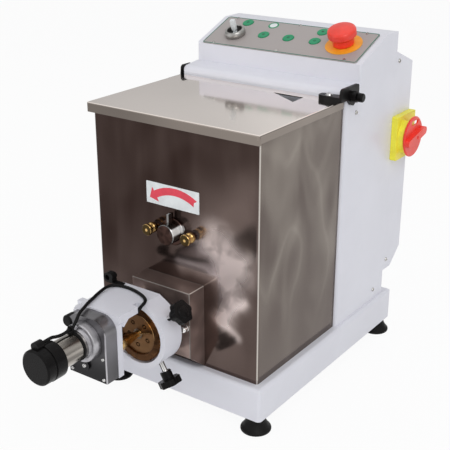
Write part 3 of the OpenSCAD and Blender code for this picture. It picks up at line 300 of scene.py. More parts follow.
def vmath(tree, operation, a, b=None):
    """Vector arithmetic; gives a number for a length, a distance or a dot product."""
    inputs = {0: a}
    if b is not None:
        inputs["Scale" if operation == "SCALE" else 1] = b
    node = add(tree, "ShaderNodeVectorMath", inputs, operation=operation)
    return node.outputs["Value" if operation in ("LENGTH", "DISTANCE", "DOT_PRODUCT") else "Vector"]


def part(tree, vector, axis):
    """The X, Y or Z of a vector."""
    return add(tree, "ShaderNodeSeparateXYZ", {0: vector}).outputs[axis]


def blend(tree, factor, a, b):
    """Colour a where the factor is 0, colour b where it is 1."""
    node = add(tree, "ShaderNodeMix", data_type="RGBA")
    for index, value in ((0, factor), (6, a), (7, b)):
        join(tree, value, node.inputs[index])
    return node.outputs[2]


def wander(tree, place, scale, detail, reach):
    """Moves a place about by soft noise, so that straight lines in it wave."""
    drift = add(tree, "ShaderNodeTexNoise", {"Vector": place, "Scale": scale, "Detail": detail})
    centred = vmath(tree, "SUBTRACT", drift.outputs["Color"], (0.5, 0.5, 0.5))
    return vmath(tree, "ADD", place, vmath(tree, "SCALE", centred, reach))


def group(name, results, **inputs):
    """Starts a shader group; returns its tree, its inputs and its outputs, both by name."""
    tree = bpy.data.node_groups.new(name, "ShaderNodeTree")
    for label, default in {"Vector": None, **inputs}.items():
        kind = "NodeSocketFloat" if isinstance(default, float) else "NodeSocketVector"
        socket = tree.interface.new_socket(label, in_out="INPUT", socket_type=kind)
        if default is not None:
            socket.default_value = default
    for label in results:
        tree.interface.new_socket(label, in_out="OUTPUT", socket_type="NodeSocketFloat")
    return tree, tree.nodes.new("NodeGroupInput").outputs, tree.nodes.new("NodeGroupOutput").inputs


def make_clouds():
    """Soft clouds with a swirl: painted reflections, as in hand-polished sheet."""
    tree, given, out = group("Painted reflection clouds", ("Mask",), Scale=8.0, Swirl=1.5)
    big = noise(tree, given["Vector"], given["Scale"], 1.0, 0.4, given["Swirl"])
    join(tree, remap(tree, big, 0.34, 0.68), out["Mask"])
    return tree


def make_caustics():
    """Light thrown by wavy sheet: soft bright lines that cross, with a halo round each."""
    tree, given, out = group("Caustic light", ("Lines", "Halo"), Scale=9.0, Wave=0.035)
    waved = wander(tree, given["Vector"], 11.0, 1.0, given["Wave"])
    field = noise(tree, waved, given["Scale"], 1.0, 0.3)
    away = calc(tree, "ABSOLUTE", calc(tree, "SUBTRACT", field, 0.5))
    join(tree, remap(tree, away, 0.030, 0.0), out["Lines"])
    join(tree, remap(tree, away, 0.135, 0.0), out["Halo"])
    return tree


def make_brushing():
    """Fine parallel lines; Stretch is small along the lines."""
    tree, given, out = group("Brushing", ("Height",), Stretch=(40.0, 900.0, 900.0))
    pulled = vmath(tree, "MULTIPLY", given["Vector"], given["Stretch"])
    join(tree, noise(tree, pulled, 1.0, 3.0, 0.6), out["Height"])
    return tree


def make_skin():
    """Orange peel of sprayed enamel, and the faint tone it gives."""
    tree, given, out = group("Enamel skin", ("Height", "Tone"), Grain=420.0)
    join(tree, noise(tree, given["Vector"], given["Grain"], 2.0, 0.4), out["Height"])
    join(tree, remap(tree, noise(tree, given["Vector"], 7.0, 4.0, 0.55, 0.6), 0.3, 0.7), out["Tone"])
    return tree


def make_grit():
    """Small pits and grains of a casting or of moulded plastic."""
    tree, given, out = group("Grit", ("Height", "Tone"), Grain=900.0)
    cells = add(tree, "ShaderNodeTexVoronoi", {"Vector": given["Vector"], "Scale": given["Grain"]})
    fine = noise(tree, given["Vector"], given["Grain"], 4.0, 0.7)
    pits = calc(tree, "MULTIPLY", cells.outputs["Distance"], 0.5)
    join(tree, calc(tree, "ADD", pits, fine), out["Height"])
    join(tree, remap(tree, noise(tree, given["Vector"], 60.0, 5.0, 0.6), 0.32, 0.68), out["Tone"])
    return tree


def make_marks():
    """Handling marks: wiped smears that change the gloss."""
    tree, given, out = group("Handling marks", ("Mask",), Scale=24.0)
    smear = noise(tree, given["Vector"], given["Scale"], 5.0, 0.62, 0.9)
    join(tree, remap(tree, smear, 0.38, 0.66), out["Mask"])
    return tree


def make_turning():
    """Rings that a lathe leaves about an axis along Y through the Centre."""
    tree, given, out = group("Turning marks", ("Height",), Centre=(0.0, 0.0, 0.0), Pitch=1600.0)
    moved = vmath(tree, "SUBTRACT", given["Vector"], given["Centre"])
    radius = vmath(tree, "LENGTH", vmath(tree, "MULTIPLY", moved, ALONG_Y))
    spread = calc(tree, "MULTIPLY", calc(tree, "ADD", radius, part(tree, moved, "Y")), given["Pitch"])
    line = add(tree, "ShaderNodeTexNoise", {"W": spread, "Scale": 1.0, "Detail": 2.0},
               noise_dimensions="1D")
    join(tree, line.outputs["Fac"], out["Height"])
    return tree


# ---------- Materials ----------

groups = {}
finishes = {}


def use(tree, name, place, **inputs):
    """Places one of the shader groups in a material and gives its outputs."""
    return add(tree, "ShaderNodeGroup", {"Vector": place, **inputs}, node_tree=groups[name]).outputs


def start_material(name, constants):
    """A material with one Principled shader; the constants go straight onto its sockets."""
    made = bpy.data.materials.new(name)
    made.use_nodes = True
    tree = made.node_tree
    tree.nodes.clear()
    shader = add(tree, "ShaderNodeBsdfPrincipled", constants)
    out = tree.nodes.new("ShaderNodeOutputMaterial")
    tree.links.new(shader.outputs["BSDF"], out.inputs["Surface"])
    finishes[name] = made
    place = tree.nodes.new("ShaderNodeTexCoord").outputs["Object"]
    return tree, shader, place


def feed(tree, shader, tone, rough, height, depth, strength):
    """Joins colour, roughness and relief to the shader; depth is the relief's in metres."""
    tree.links.new(tone, shader.inputs["Base Color"])
    tree.links.new(rough, shader.inputs["Roughness"])
    bump = add(tree, "ShaderNodeBump", {"Height": height, "Strength": strength, "Distance": depth})
    tree.links.new(bump.outputs["Normal"], shader.inputs["Normal"])


def shade(rgba, factor):
    return (*[min(1.0, c * factor) for c in rgba[:3]], 1.0)


def tinted(tree, mask, base, dark, light):
    """One colour, at the first share of it where the mask is 0 and the second where it is 1."""
    return blend(tree, mask, shade(base, dark), shade(base, light))


def near(tree, place, point, keep, inner, outer):
    """1 close to a point, or to a line where keep leaves an axis out; 0 past outer."""
    moved = vmath(tree, "SUBTRACT", place, point)
    away = vmath(tree, "LENGTH", vmath(tree, "MULTIPLY", moved, keep))
    return remap(tree, away, inner, outer, 1.0, 0.0)


def beam(tree, place, first, last, width):
    """1 on a straight run between two points of the casing front, fading out at width."""
    (x1, z1), (x2, z2) = first, last
    start, run = Vector((x1, 0, z1)) * MM, Vector((x2 - x1, 0, z2 - z1)) * MM
    flat = vmath(tree, "MULTIPLY", vmath(tree, "SUBTRACT", place, start), ALONG_Y)
    along = vmath(tree, "DOT_PRODUCT", flat, run)
    share = calc(tree, "MULTIPLY", along, 1.0 / run.length_squared, clamp=True)
    away = vmath(tree, "DISTANCE", flat, vmath(tree, "SCALE", run, share))
    return calc(tree, "POWER", remap(tree, away, 0.0, width * MM, 1.0, 0.0), 2.0)


def total(tree, *terms):
    """Sum of (socket, weight) pairs, kept between 0 and 1."""
    value = calc(tree, "MULTIPLY", *terms[0])
    for socket, weight in terms[1:]:
        value = calc(tree, "ADD", value, calc(tree, "MULTIPLY", socket, weight), clamp=True)
    return value


def enamel():
    """Sprayed white enamel with a faint orange peel."""
    tree, shader, place = start_material("enamel", {"Metallic": 0.0, "Coat Weight": 0.2,
                                                    "Coat Roughness": 0.14})
    skin = use(tree, "skin", place, Grain=420.0)
    marks = use(tree, "marks", place, Scale=9.0)["Mask"]
    tone = tinted(tree, skin["Tone"], paint("enamel"), 0.965, 1.015)
    feed(tree, shader, tone, between(tree, marks, 0.32, 0.42), skin["Height"], 0.00012, 0.16)


def casing_front(tree, place, low_painted_light):
    """Colour of the casing front, all painted reflections and painted light, and how far a point is in the
    wide part of that light.
    """
    hub = axis_of("front_hub")
    clouds = use(tree, "clouds", place, Scale=9.0, Swirl=0.8)["Mask"]
    drapes = vmath(tree, "MULTIPLY", place, (26.0, 1.0, 5.0))
    streak_reflections = remap(tree, noise(tree, drapes, 1.0, 2.0, 0.5), 0.35, 0.7)
    waved = wander(tree, place, 14.0, 2.0, 0.020)
    halo = use(tree, "caustics", place, Scale=9.5, Wave=0.040)["Halo"]
    centre = (hub[0] + GLOW_SHIFT[0], 0.0, hub[2] + GLOW_SHIFT[1])
    lit = near(tree, place, centre, (1.0, 0.0, 0.62), 6 * MM, 110 * MM)
    wide = thin = 0.0
    for run in WIDE_BEAMS:
        wide = calc(tree, "MAXIMUM", wide, beam(tree, waved, *run))
    for run in THIN_BEAMS:
        thin = calc(tree, "ADD", thin, beam(tree, waved, *run), clamp=True)
    patchy = remap(tree, noise(tree, waved, 34.0, 2.0, 0.5, 0.6), 0.36, 0.60, 0.50, 1.0)
    core = calc(tree, "MULTIPLY", wide, patchy)
    halo = calc(tree, "MULTIPLY", halo, lit)
    drape = beam(tree, waved, *DRAPE_BEAM)
    # Painted reflection clouds and streaks, the painted glow with its halo, a painted reflection low down
    middle = total(tree, (clouds, 0.16), (streak_reflections, 0.16), (lit, 0.70), (halo, 0.30), (low_painted_light, 0.35),
                   # and a painted drape of light
                   (drape, 0.60))
    bright = total(tree, (core, 0.95), (thin, 0.46), (calc(tree, "MULTIPLY", halo, wide), 0.15))
    dull = blend(tree, middle, paint("front_dark"), paint("front_mid"))
    return blend(tree, bright, dull, paint("front_light")), wide


def polished_sheet():
    """Polished casing sheet in painted light: dark with crossing light in front, softer and lighter painted
    reflection clouds on the sides.
    """
    tree, shader, place = start_material("polished_sheet", {"Metallic": 0.8, "Specular IOR Level": 0.1})
    low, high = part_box("casing")
    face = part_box("arrow_label")[1].y
    front = remap(tree, part(tree, place, "Y"), face + 0.4 * MM, face + 1.6 * MM, 1.0, 0.0)
    low_painted_light = remap(tree, part(tree, place, "Z"), low.z, low.z + LOW_PAINTED_LIGHT_HEIGHT, 1.0, 0.0)
    front_colour, wide = casing_front(tree, place, low_painted_light)
    slant = vmath(tree, "MULTIPLY", place, (1.0, 1.5, 0.75))
    clouds = use(tree, "clouds", slant, Scale=9.5, Swirl=1.1)["Mask"]
    light = use(tree, "caustics", slant, Scale=7.0, Wave=0.050)
    side_tone = total(tree, (clouds, 0.42), (light["Halo"], 0.34), (light["Lines"], 0.16))
    # Painted shade: the sides darken towards the bottom
    side_tone = calc(tree, "MULTIPLY", side_tone, between(tree, low_painted_light, 1.0, 0.25))
    side_colour = blend(tree, side_tone, paint("side_dark"), paint("side_light"))
    # Painted highlight along the bend at the front corner
    bend_highlight = near(tree, place, (high.x, face, 0.0), ALONG_Z, *BEND_HIGHLIGHT)
    sheet = blend(tree, bend_highlight, blend(tree, front, side_colour, front_colour), shade(paint("bend_light"), 0.7))
    lines = use(tree, "brushing", place, Stretch=(60.0, 60.0, 1500.0))["Height"]
    feed(tree, shader, sheet, remap(tree, wide, 0.1, 0.9, 0.13, 0.38), lines, 0.00003, 0.08)


def box_sheet():
    """Polished sheet of the box round the barrel: painted reflection clouds, a top lightened as painted
    light, painted highlights on its bends.
    """
    tree, shader, place = start_material("box_sheet", {"Metallic": 0.6, "Specular IOR Level": 0.1})
    low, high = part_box("barrel_cover")
    clouds = use(tree, "clouds", place, Scale=19.0, Swirl=1.0)["Mask"]
    halo = use(tree, "caustics", place, Scale=15.0, Wave=0.030)["Halo"]
    tone = total(tree, (clouds, 0.55), (halo, 0.40))
    base = paint("front_mid")
    # Painted light: the top face may grow lighter than the sides
    top = remap(tree, part(tree, place, "Z"), high.z - 1.2 * MM, high.z - 0.4 * MM)
    sheet = blend(tree, top, tinted(tree, tone, base, 1.1, 2.8), tinted(tree, tone, base, 1.1, 1.7))
    # Painted highlights along four bends, each as bright as its share of light
    for point, keep, light_share in (
            ((0.0, low.y, high.z), ALONG_X, 0.55), ((high.x, 0.0, high.z), ALONG_Y, 1.0),
            ((high.x, low.y, 0.0), ALONG_Z, 0.45), ((0.0, high.y, high.z), ALONG_X, 0.25)):
        bend_highlight = near(tree, place, point, keep, 0.6 * MM, 1.3 * MM)
        sheet = blend(tree, bend_highlight, sheet, shade(paint("bend_light"), light_share))
    lines = use(tree, "brushing", place, Stretch=(60.0, 1200.0, 1200.0))["Height"]
    feed(tree, shader, sheet, between(tree, clouds, 0.14, 0.24), lines, 0.00003, 0.10)


def lid_sheet():
    """Lid sheet, mirror-like on top; painted shade on its lips, lighter to the right as painted light,
    painted highlight at its front bend.
    """
    tree, shader, place = start_material("lid_sheet", {"Metallic": 1.0})
    low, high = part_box("lid")
    top = remap(tree, part(tree, place, "Z"), high.z - 1.5 * MM, high.z - 0.5 * MM)
    clouds = use(tree, "clouds", place, Scale=5.0, Swirl=0.8)["Mask"]
    # Painted light on the lips: darkest at the left, lighter towards the right
    across = remap(tree, part(tree, place, "X"), low.x, high.x, 0.0, 0.55)
    lip = total(tree, (across, 1.0), (clouds, 0.35))
    sheet = blend(tree, top, tinted(tree, lip, paint("lip"), 0.36, 1.30),
                  tinted(tree, clouds, paint("lid"), 0.95, 1.03))
    bend_highlight = near(tree, place, (0.0, low.y, high.z), ALONG_X, 0.5 * MM, 1.2 * MM)
    sheet = blend(tree, bend_highlight, sheet, paint("bend_light"))
    lines = use(tree, "brushing", place, Stretch=(30.0, 1400.0, 1400.0))["Height"]
    feed(tree, shader, sheet, between(tree, clouds, 0.06, 0.10), lines, 0.00002, 0.05)


def plated(name, colour_name, rough, centre=None, spread=(0.70, 1.10)):
    """Chrome, steel, brass or bronze with turning marks and wiped smears."""
    tree, shader, place = start_material(name, {"Metallic": 1.0})
    clouds = use(tree, "clouds", place, Scale=42.0, Swirl=1.0)["Mask"]
    marks = use(tree, "marks", place, Scale=70.0)["Mask"]
    if centre is None:
        relief = use(tree, "brushing", place, Stretch=(900.0, 60.0, 900.0))
    else:
        relief = use(tree, "turning", place, Centre=centre, Pitch=FINE_RINGS)
    # Soft clouds lighten and darken the colour: painted reflections
    feed(tree, shader, tinted(tree, clouds, paint(colour_name), *spread),
         between(tree, marks, rough, rough + 0.08), relief["Height"], 0.00003, 0.20)


def hub_chrome():
    """Mirror chrome of the hub with painted reflections: a dark end and flange, a painted highlight band
    along its right side.
    """
    tree, shader, place = start_material("hub_chrome", {"Specular IOR Level": 0.3})
    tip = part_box("front_hub")[0].y
    centre = axis_of("front_hub")
    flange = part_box("arrow_label")[1].y
    depth = part(tree, place, "Y")
    end = remap(tree, depth, tip + 0.2 * MM, tip + 0.7 * MM, 1.0, 0.0)
    rear = remap(tree, depth, flange - HUB_FLANGE_DARK_REFLECTION[0], flange - HUB_FLANGE_DARK_REFLECTION[1])
    right = (centre[0] + HUB_HIGHLIGHT[0], 0.0, centre[2] + HUB_HIGHLIGHT[1])
    band = near(tree, place, right, ALONG_Y, 3 * MM, 7 * MM)
    marks = use(tree, "marks", place, Scale=70.0)["Mask"]
    base, dark = paint("chrome"), paint("front_dark")
    # Painted highlight band on the right side, painted dark reflections on the end and the flange
    tone = tinted(tree, band, base, 0.30, 1.22)
    tone = blend(tree, end, tone, tinted(tree, marks, dark, 0.8, 2.2))
    tone = blend(tree, rear, tone, blend(tree, band, shade(dark, 2.0), shade(base, 0.9)))
    tree.links.new(between(tree, band, 1.0, 0.15), shader.inputs["Metallic"])
    rings = use(tree, "turning", place, Centre=centre, Pitch=FINE_RINGS)["Height"]
    feed(tree, shader, tone, between(tree, marks, 0.07, 0.14), rings, 0.00002, 0.12)


def nut_brass(name, node):
    """Turned brass of a thumb nut: a face darkened as a painted reflection, with a bright middle."""
    tree, shader, place = start_material(name, {"Metallic": 1.0})
    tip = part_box(node)[0].y
    centre = axis_of(node)
    face = remap(tree, part(tree, place, "Y"), tip + 0.3 * MM, tip + 0.9 * MM, 1.0, 0.0)
    dot = near(tree, place, centre, ALONG_Y, 0.8 * MM, 2.4 * MM)
    marks = use(tree, "marks", place, Scale=90.0)["Mask"]
    base = paint("brass")
    # Painted dark reflection on the face
    tone = blend(tree, face, tinted(tree, marks, base, 0.60, 1.20), tinted(tree, dot, base, 0.09, 1.5))
    rings = use(tree, "turning", place, Centre=centre, Pitch=FINE_RINGS)["Height"]
    feed(tree, shader, tone, between(tree, marks, 0.12, 0.22), rings, 0.00003, 0.20)


def nut_bronze():
    """Bronze of the ring nut: a face darkened as a painted reflection, a painted highlight at the upper
    right of its inner lip.
    """
    tree, shader, place = start_material("nut_bronze", {"Metallic": 0.8, "Specular IOR Level": 0.2})
    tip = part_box("ring_nut")[0].y
    centre = axis_of("die")
    face = remap(tree, part(tree, place, "Y"), tip + 0.4 * MM, tip + 1.4 * MM, 1.0, 0.0)
    lip = near(tree, place, centre, ALONG_Y, *NUT_LIP)
    upper_right = (centre[0] + NUT_HIGHLIGHT[0], 0.0, centre[2] + NUT_HIGHLIGHT[1])
    highlight_spot = near(tree, place, upper_right, ALONG_Y, 8 * MM, 22 * MM)
    marks = use(tree, "marks", place, Scale=60.0)["Mask"]
    base = paint("nut")
    # Painted dark reflection on the face
    tone = blend(tree, face, tinted(tree, marks, base, 0.8, 1.2), tinted(tree, marks, base, 0.20, 0.34))
    # Painted highlight on the inner lip
    tone = blend(tree, calc(tree, "MULTIPLY", lip, highlight_spot), tone, (1.0, 0.62, 0.28, 1.0))
    rings = use(tree, "turning", place, Centre=centre, Pitch=FINE_RINGS)["Height"]
    feed(tree, shader, tone, between(tree, marks, 0.20, 0.30), rings, 0.00003, 0.20)


def motor_tube():
    """Brushed tube: soft grey bands along it, painted reflections, and fine lines round it."""
    tree, shader, place = start_material("motor_tube", {"Metallic": 1.0})
    low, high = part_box("cutter_motor")
    middle = (low + high) / 2
    # Painted reflection bands along the tube
    bands = vmath(tree, "MULTIPLY", place, (95.0, 3.0, 95.0))
    mask = remap(tree, noise(tree, bands, 1.0, 1.0, 0.4), 0.36, 0.64)
    boss = remap(tree, part(tree, place, "Y"), high.y - TUBE_BOSS[0], high.y - TUBE_BOSS[1])
    tone = blend(tree, boss, tinted(tree, mask, paint("tube"), 0.50, 1.25), shade(paint("chrome"), 0.85))
    rings = use(tree, "turning", place, Centre=(middle.x, 0.0, middle.z), Pitch=FINE_RINGS)["Height"]
    feed(tree, shader, tone, between(tree, mask, 0.16, 0.24), rings, 0.00002, 0.15)


def moulded(name, colour_name, rough, grain=1500.0, relief=0.12, coat=0.0, level=0.5):
    """Moulded plastic or rubber with a fine grain."""
    tree, shader, place = start_material(name, {"Metallic": 0.0, "Coat Weight": coat,
                                                "Coat Roughness": 0.15, "Specular IOR Level": level})
    grit = use(tree, "grit", place, Grain=grain)
    marks = use(tree, "marks", place, Scale=55.0)["Mask"]
    feed(tree, shader, tinted(tree, grit["Tone"], paint(colour_name), 0.92, 1.06),
         between(tree, marks, rough, rough + 0.10), grit["Height"], 0.00006, relief)


def casting(name, colour_name, rough, metallic=1.0):
    """Blasted casting: grainy, with slightly rubbed patches."""
    tree, shader, place = start_material(name, {"Metallic": metallic})
    grit = use(tree, "grit", place, Grain=1100.0)
    marks = use(tree, "marks", place, Scale=30.0)["Mask"]
    feed(tree, shader, tinted(tree, marks, paint(colour_name), 0.85, 1.20),
         between(tree, grit["Tone"], rough, rough + 0.12), grit["Height"], 0.00008, 0.25)


def gear_case_alloy():
    """Grey alloy of the cutter gear case in painted light: its front darkens downwards, its sides are
    lighter, boss and rim highlighted.
    """
    tree, shader, place = start_material("gear_case_alloy", {"Metallic": 1.0})
    low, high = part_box("gear_case")
    plate = low.y + CASE_BOSS
    depth, rise = part(tree, place, "Y"), part(tree, place, "Z")
    grit = use(tree, "grit", place, Grain=1100.0)
    marks = use(tree, "marks", place, Scale=26.0)["Mask"]
    base = paint("alloy")
    # Painted shade: the front darkens downwards; painted light: sides lighter, darker low down
    face = tinted(tree, remap(tree, rise, low.z + 8 * MM, high.z), base, 0.12, 0.80)
    side = tinted(tree, remap(tree, rise, low.z, high.z - 20 * MM), base, 0.60, 1.15)
    # Painted highlight on the motor boss
    boss = tinted(tree, marks, base, 1.3, 2.2)
    tone = blend(tree, remap(tree, depth, plate + 0.9 * MM, plate + 2.4 * MM), face, side)
    motor = near(tree, place, axis_of("cutter_motor"), ALONG_Y, *BOSS_RIM)
    proud = remap(tree, depth, plate - 1.2 * MM, plate - 0.6 * MM, 1.0, 0.0)
    tone = blend(tree, calc(tree, "MULTIPLY", proud, motor), tone, boss)
    # Painted highlight along the right rim of the front
    rim = near(tree, place, (high.x, plate, 0.0), ALONG_Z, 0.8 * MM, 2.0 * MM)
    tone = blend(tree, rim, tone, shade(base, 2.4))
    feed(tree, shader, tone, between(tree, grit["Tone"], 0.30, 0.42), grit["Height"], 0.00008, 0.25)


def panel_foil():
    """Warm grey printed foil with a faint sideways grain."""
    tree, shader, place = start_material("panel_foil", {"Metallic": 0.0, "Coat Weight": 0.15,
                                                        "Coat Roughness": 0.2})
    lines = use(tree, "brushing", place, Stretch=(25.0, 1600.0, 1600.0))["Height"]
    marks = use(tree, "marks", place, Scale=14.0)["Mask"]
    tone = tinted(tree, lines, paint("foil"), 0.94, 1.06)
    feed(tree, shader, tone, between(tree, marks, 0.34, 0.44), lines, 0.00002, 0.12)


def make_finishes():
    """Builds every group and material once."""
    groups.update(clouds=make_clouds(), caustics=make_caustics(), brushing=make_brushing(),
                  skin=make_skin(), grit=make_grit(), marks=make_marks(), turning=make_turning())
    for finish in (enamel, polished_sheet, box_sheet, lid_sheet, panel_foil, gear_case_alloy, motor_tube,
                   hub_chrome, nut_bronze):
        finish()
    nut_brass("brass_left", "thumb_nut_left")
    nut_brass("brass_right", "thumb_nut_right")
    plated("trough_sheet", "trough", 0.24)
    plated("satin_ring", "steel", 0.30, None, (0.62, 0.85))
    plated("screw_steel", "chrome", 0.12)
    plated("machined_steel", "steel", 0.22)
    plated("blade_steel", "blade", 0.20, None, (0.7, 1.3))
    plated("die_bronze", "die", 0.50, axis_of("die"), (0.86, 1.12))
    plated("brass", "brass", 0.15, axis_of("front_hub"), (0.72, 1.08))
    casting("flange_steel", "alloy", 0.24)
    casting("grey_iron", "iron", 0.50, 0.0)
    moulded("black_plastic", "black", 0.34, level=0.18)
    moulded("knob_plastic", "black", 0.26, 1800.0, 0.08, level=0.12)
    moulded("rubber", "rubber", 0.50, 1300.0, 0.25, level=0.18)
    moulded("red_plastic", "red", 0.30, 1900.0, 0.05, 0.15)
    moulded("yellow_plastic", "yellow", 0.34, 1900.0, 0.05, 0.1)
    moulded("stop_disc", "orange", 0.42, 1900.0, 0.05)
    moulded("key_green", "green", 0.36, 1900.0, 0.05)
    moulded("border_green", "border", 0.40, 1900.0, 0.05)
    moulded("key_mark", "mark", 0.45, 1900.0, 0.05)
    moulded("lever_white", "label", 0.20, 1900.0, 0.03, 0.3)
    moulded("label_white", "label", 0.34, 1900.0, 0.03, 0.1)
    moulded("arrow_red", "arrow", 0.38, 1900.0, 0.03)


# ---------- Shaping helpers ----------

# Points closer than this are one, and faces that turn less are one flat face
SAME_POINT = 0.002 * MM
FLAT_ANGLE = math.radians(0.4)
# Edges that turn more are softened, and faces that turn more keep a sharp edge in shading
EDGE_ANGLE = math.radians(38)
SMOOTH_ANGLE = math.radians(34)


def axis_of(node):
    """Middle of a node's box, as a plain tuple."""
    low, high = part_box(node)
    return tuple((low + high) / 2)


def pick(piece):
    """Makes a piece the only selected and the active one."""
    bpy.ops.object.select_all(action="DESELECT")
    piece.select_set(True)
    bpy.context.view_layer.objects.active = piece


def edit(piece):
    """Opens a piece for shaping, with everything selected."""
    pick(piece)
    bpy.ops.object.mode_set(mode="EDIT")
    bpy.ops.mesh.select_all(action="SELECT")


def done():
    bpy.ops.object.mode_set(mode="OBJECT")


def take(node):
    """A merged copy of a CAD node to work on, with its flat faces whole."""
    piece = bpy.data.objects.new(node + "_dressed", frame["nodes"][node].data.copy())
    piece.data.materials.clear()
    bpy.context.scene.collection.objects.link(piece)
    edit(piece)
    bpy.ops.mesh.remove_doubles(threshold=SAME_POINT)
    bpy.ops.mesh.dissolve_limited(angle_limit=FLAT_ANGLE)
    done()
    return piece


def apply_place():
    """Puts place, turn and size of the selected piece into its mesh."""
    bpy.ops.object.transform_apply(location=True, rotation=True, scale=True)


def finish_piece(piece, body, finish):
    """Smooth shading, finish, slot and body."""
    pick(piece)
    apply_place()
    bpy.ops.object.shade_smooth_by_angle(angle=SMOOTH_ANGLE)
    piece.data.materials.append(finishes[finish])
    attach(piece, body)
    return piece


def apply_modifier(piece, name, kind, **settings):
    pick(piece)
    made = piece.modifiers.new(name, kind)
    for key, value in settings.items():
        setattr(made, key, value)
    bpy.ops.object.modifier_apply(modifier=made.name)


def soften(node, width, finish, segments=2):
    """A CAD node with softened edges, its finish on, in place of the plain node."""
    piece = take(node)
    if width:
        apply_modifier(piece, "Soft edges", "BEVEL", width=width, segments=segments, limit_method="ANGLE",
                       angle_limit=EDGE_ANGLE, use_clamp_overlap=True, miter_outer="MITER_ARC")
    finish_piece(piece, frame["nodes"][node]["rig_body"], finish)
    apply_modifier(piece, "Flat faces stay flat", "WEIGHTED_NORMAL", keep_sharp=True, weight=60)
    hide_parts(node)
    return piece


def coat(node, finish):
    """Puts a finish on a CAD node that keeps its own mesh."""
    target = frame["nodes"][node]
    if not target.material_slots:
        target.data.materials.append(finishes[finish])
    for entry in target.material_slots:
        entry.material = finishes[finish]


def two_tone(piece, finish, chosen):
    """Gives a second finish to the faces whose middle passes a test."""
    piece.data.materials.append(finishes[finish])
    for face in piece.data.polygons:
        if chosen(face.center):
            face.material_index = 1


def choose(piece, passes):
    """Selects the points of an open piece that pass a test, by their place."""
    bpy.ops.mesh.select_all(action="DESELECT")
    shape = bmesh.from_edit_mesh(piece.data)
    for point in shape.verts:
        point.select = passes(point.co)
    shape.select_flush(True)
    bmesh.update_edit_mesh(piece.data)


def opened(name, size=(1, 1, 1)):
    """Names and sizes the primitive that was just added, and opens it for shaping."""
    piece = bpy.context.view_layer.objects.active
    piece.name = name
    piece.scale = size
    apply_place()
    edit(piece)
    return piece


# Printed marks are drawn flat, then laid on what carries them
def flat_start(name, width, height, centre=(0.0, 0.0)):
    """A flat rectangle, opened for shaping."""
    bpy.ops.object.select_all(action="DESELECT")
    bpy.ops.mesh.primitive_plane_add(size=1, location=(*centre, 0))
    return opened(name, (width, height, 1))


def round_start(name, radius, centre=(0.0, 0.0), count=40):
    """A flat disc, opened for shaping."""
    bpy.ops.object.select_all(action="DESELECT")
    bpy.ops.mesh.primitive_circle_add(vertices=count, radius=radius, fill_type="NGON", location=(*centre, 0))
    return opened(name)


def hollow(width):
    """Leaves only a rim of the flat face."""
    bpy.ops.mesh.inset(thickness=width)
    bpy.ops.mesh.delete(type="FACE")
    bpy.ops.mesh.select_all(action="SELECT")


def thicken(piece, height):
    """Gives a flat mark its thickness of ink and closes it."""
    bpy.ops.mesh.select_all(action="SELECT")
    bpy.ops.mesh.extrude_region_move(TRANSFORM_OT_translate={"value": (0, 0, height)})
    bpy.ops.mesh.select_all(action="SELECT")
    bpy.ops.mesh.normals_make_consistent(inside=False)
    done()
    return piece


def lay(piece, on, body, finish):
    """Lays a flat mark on what carries it."""
    piece.matrix_world = on
    return finish_piece(piece, body, finish)


def panel_frame():
    """Matrix from (across, up the slope, height) on the control plate to the row frame."""
    mesh = frame["nodes"]["control_plate"].data
    up = max(mesh.polygons, key=lambda face: face.area * (face.normal.z > 0)).normal.copy()
    side = Vector((1, 0, 0))
    along = up.cross(side)
    low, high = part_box("control_plate")
    points = [point.co for point in mesh.vertices]
    corner = (side * (low.x + high.x) / 2 + along * min(p.dot(along) for p in points)
              + up * max(p.dot(up) for p in points))
    return Matrix.Translation(corner) @ Matrix((side, along, up)).transposed().to_4x4()


def label_frame():
    """Matrix from (across, up, out) at the upper left corner of the arrow label to the row frame."""
    low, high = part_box("arrow_label")
    turn = Matrix(((1, 0, 0), (0, 0, 1), (0, -1, 0))).transposed().to_4x4()
    return Matrix.Translation((low.x, low.y, high.z)) @ turn


# ---------- Groups of pieces ----------


class PASTA_OT_finishes(bpy.types.Operator):
    """Builds the shader groups and the materials."""

    bl_idname = "pasta.finishes"
    bl_label = "Finishes"

    def execute(self, context):
        make_finishes()
        return {"FINISHED"}


class PASTA_OT_base(bpy.types.Operator):
    """Base pan on its rubber feet."""

    bl_idname = "pasta.base"
    bl_label = "Base and feet"

    def execute(self, context):
        soften("base_pan", edges().folded, "enamel")
        for node in ("foot_front_left", "foot_front_right", "foot_rear_left", "foot_rear_right"):
            soften(node, edges().moulded, "rubber")
        return {"FINISHED"}


class PASTA_OT_column(bpy.types.Operator):
    """Column, rear cover, their screws and the cord inlet."""

    bl_idname = "pasta.column"
    bl_label = "Column"

    def execute(self, context):
        soften("column_housing", edges().folded, "enamel")
        soften("rear_cover", edges().folded, "enamel")
        soften("panel_screws", edges().small, "machined_steel")
        soften("cable_gland", edges().moulded, "black_plastic")
        return {"FINISHED"}


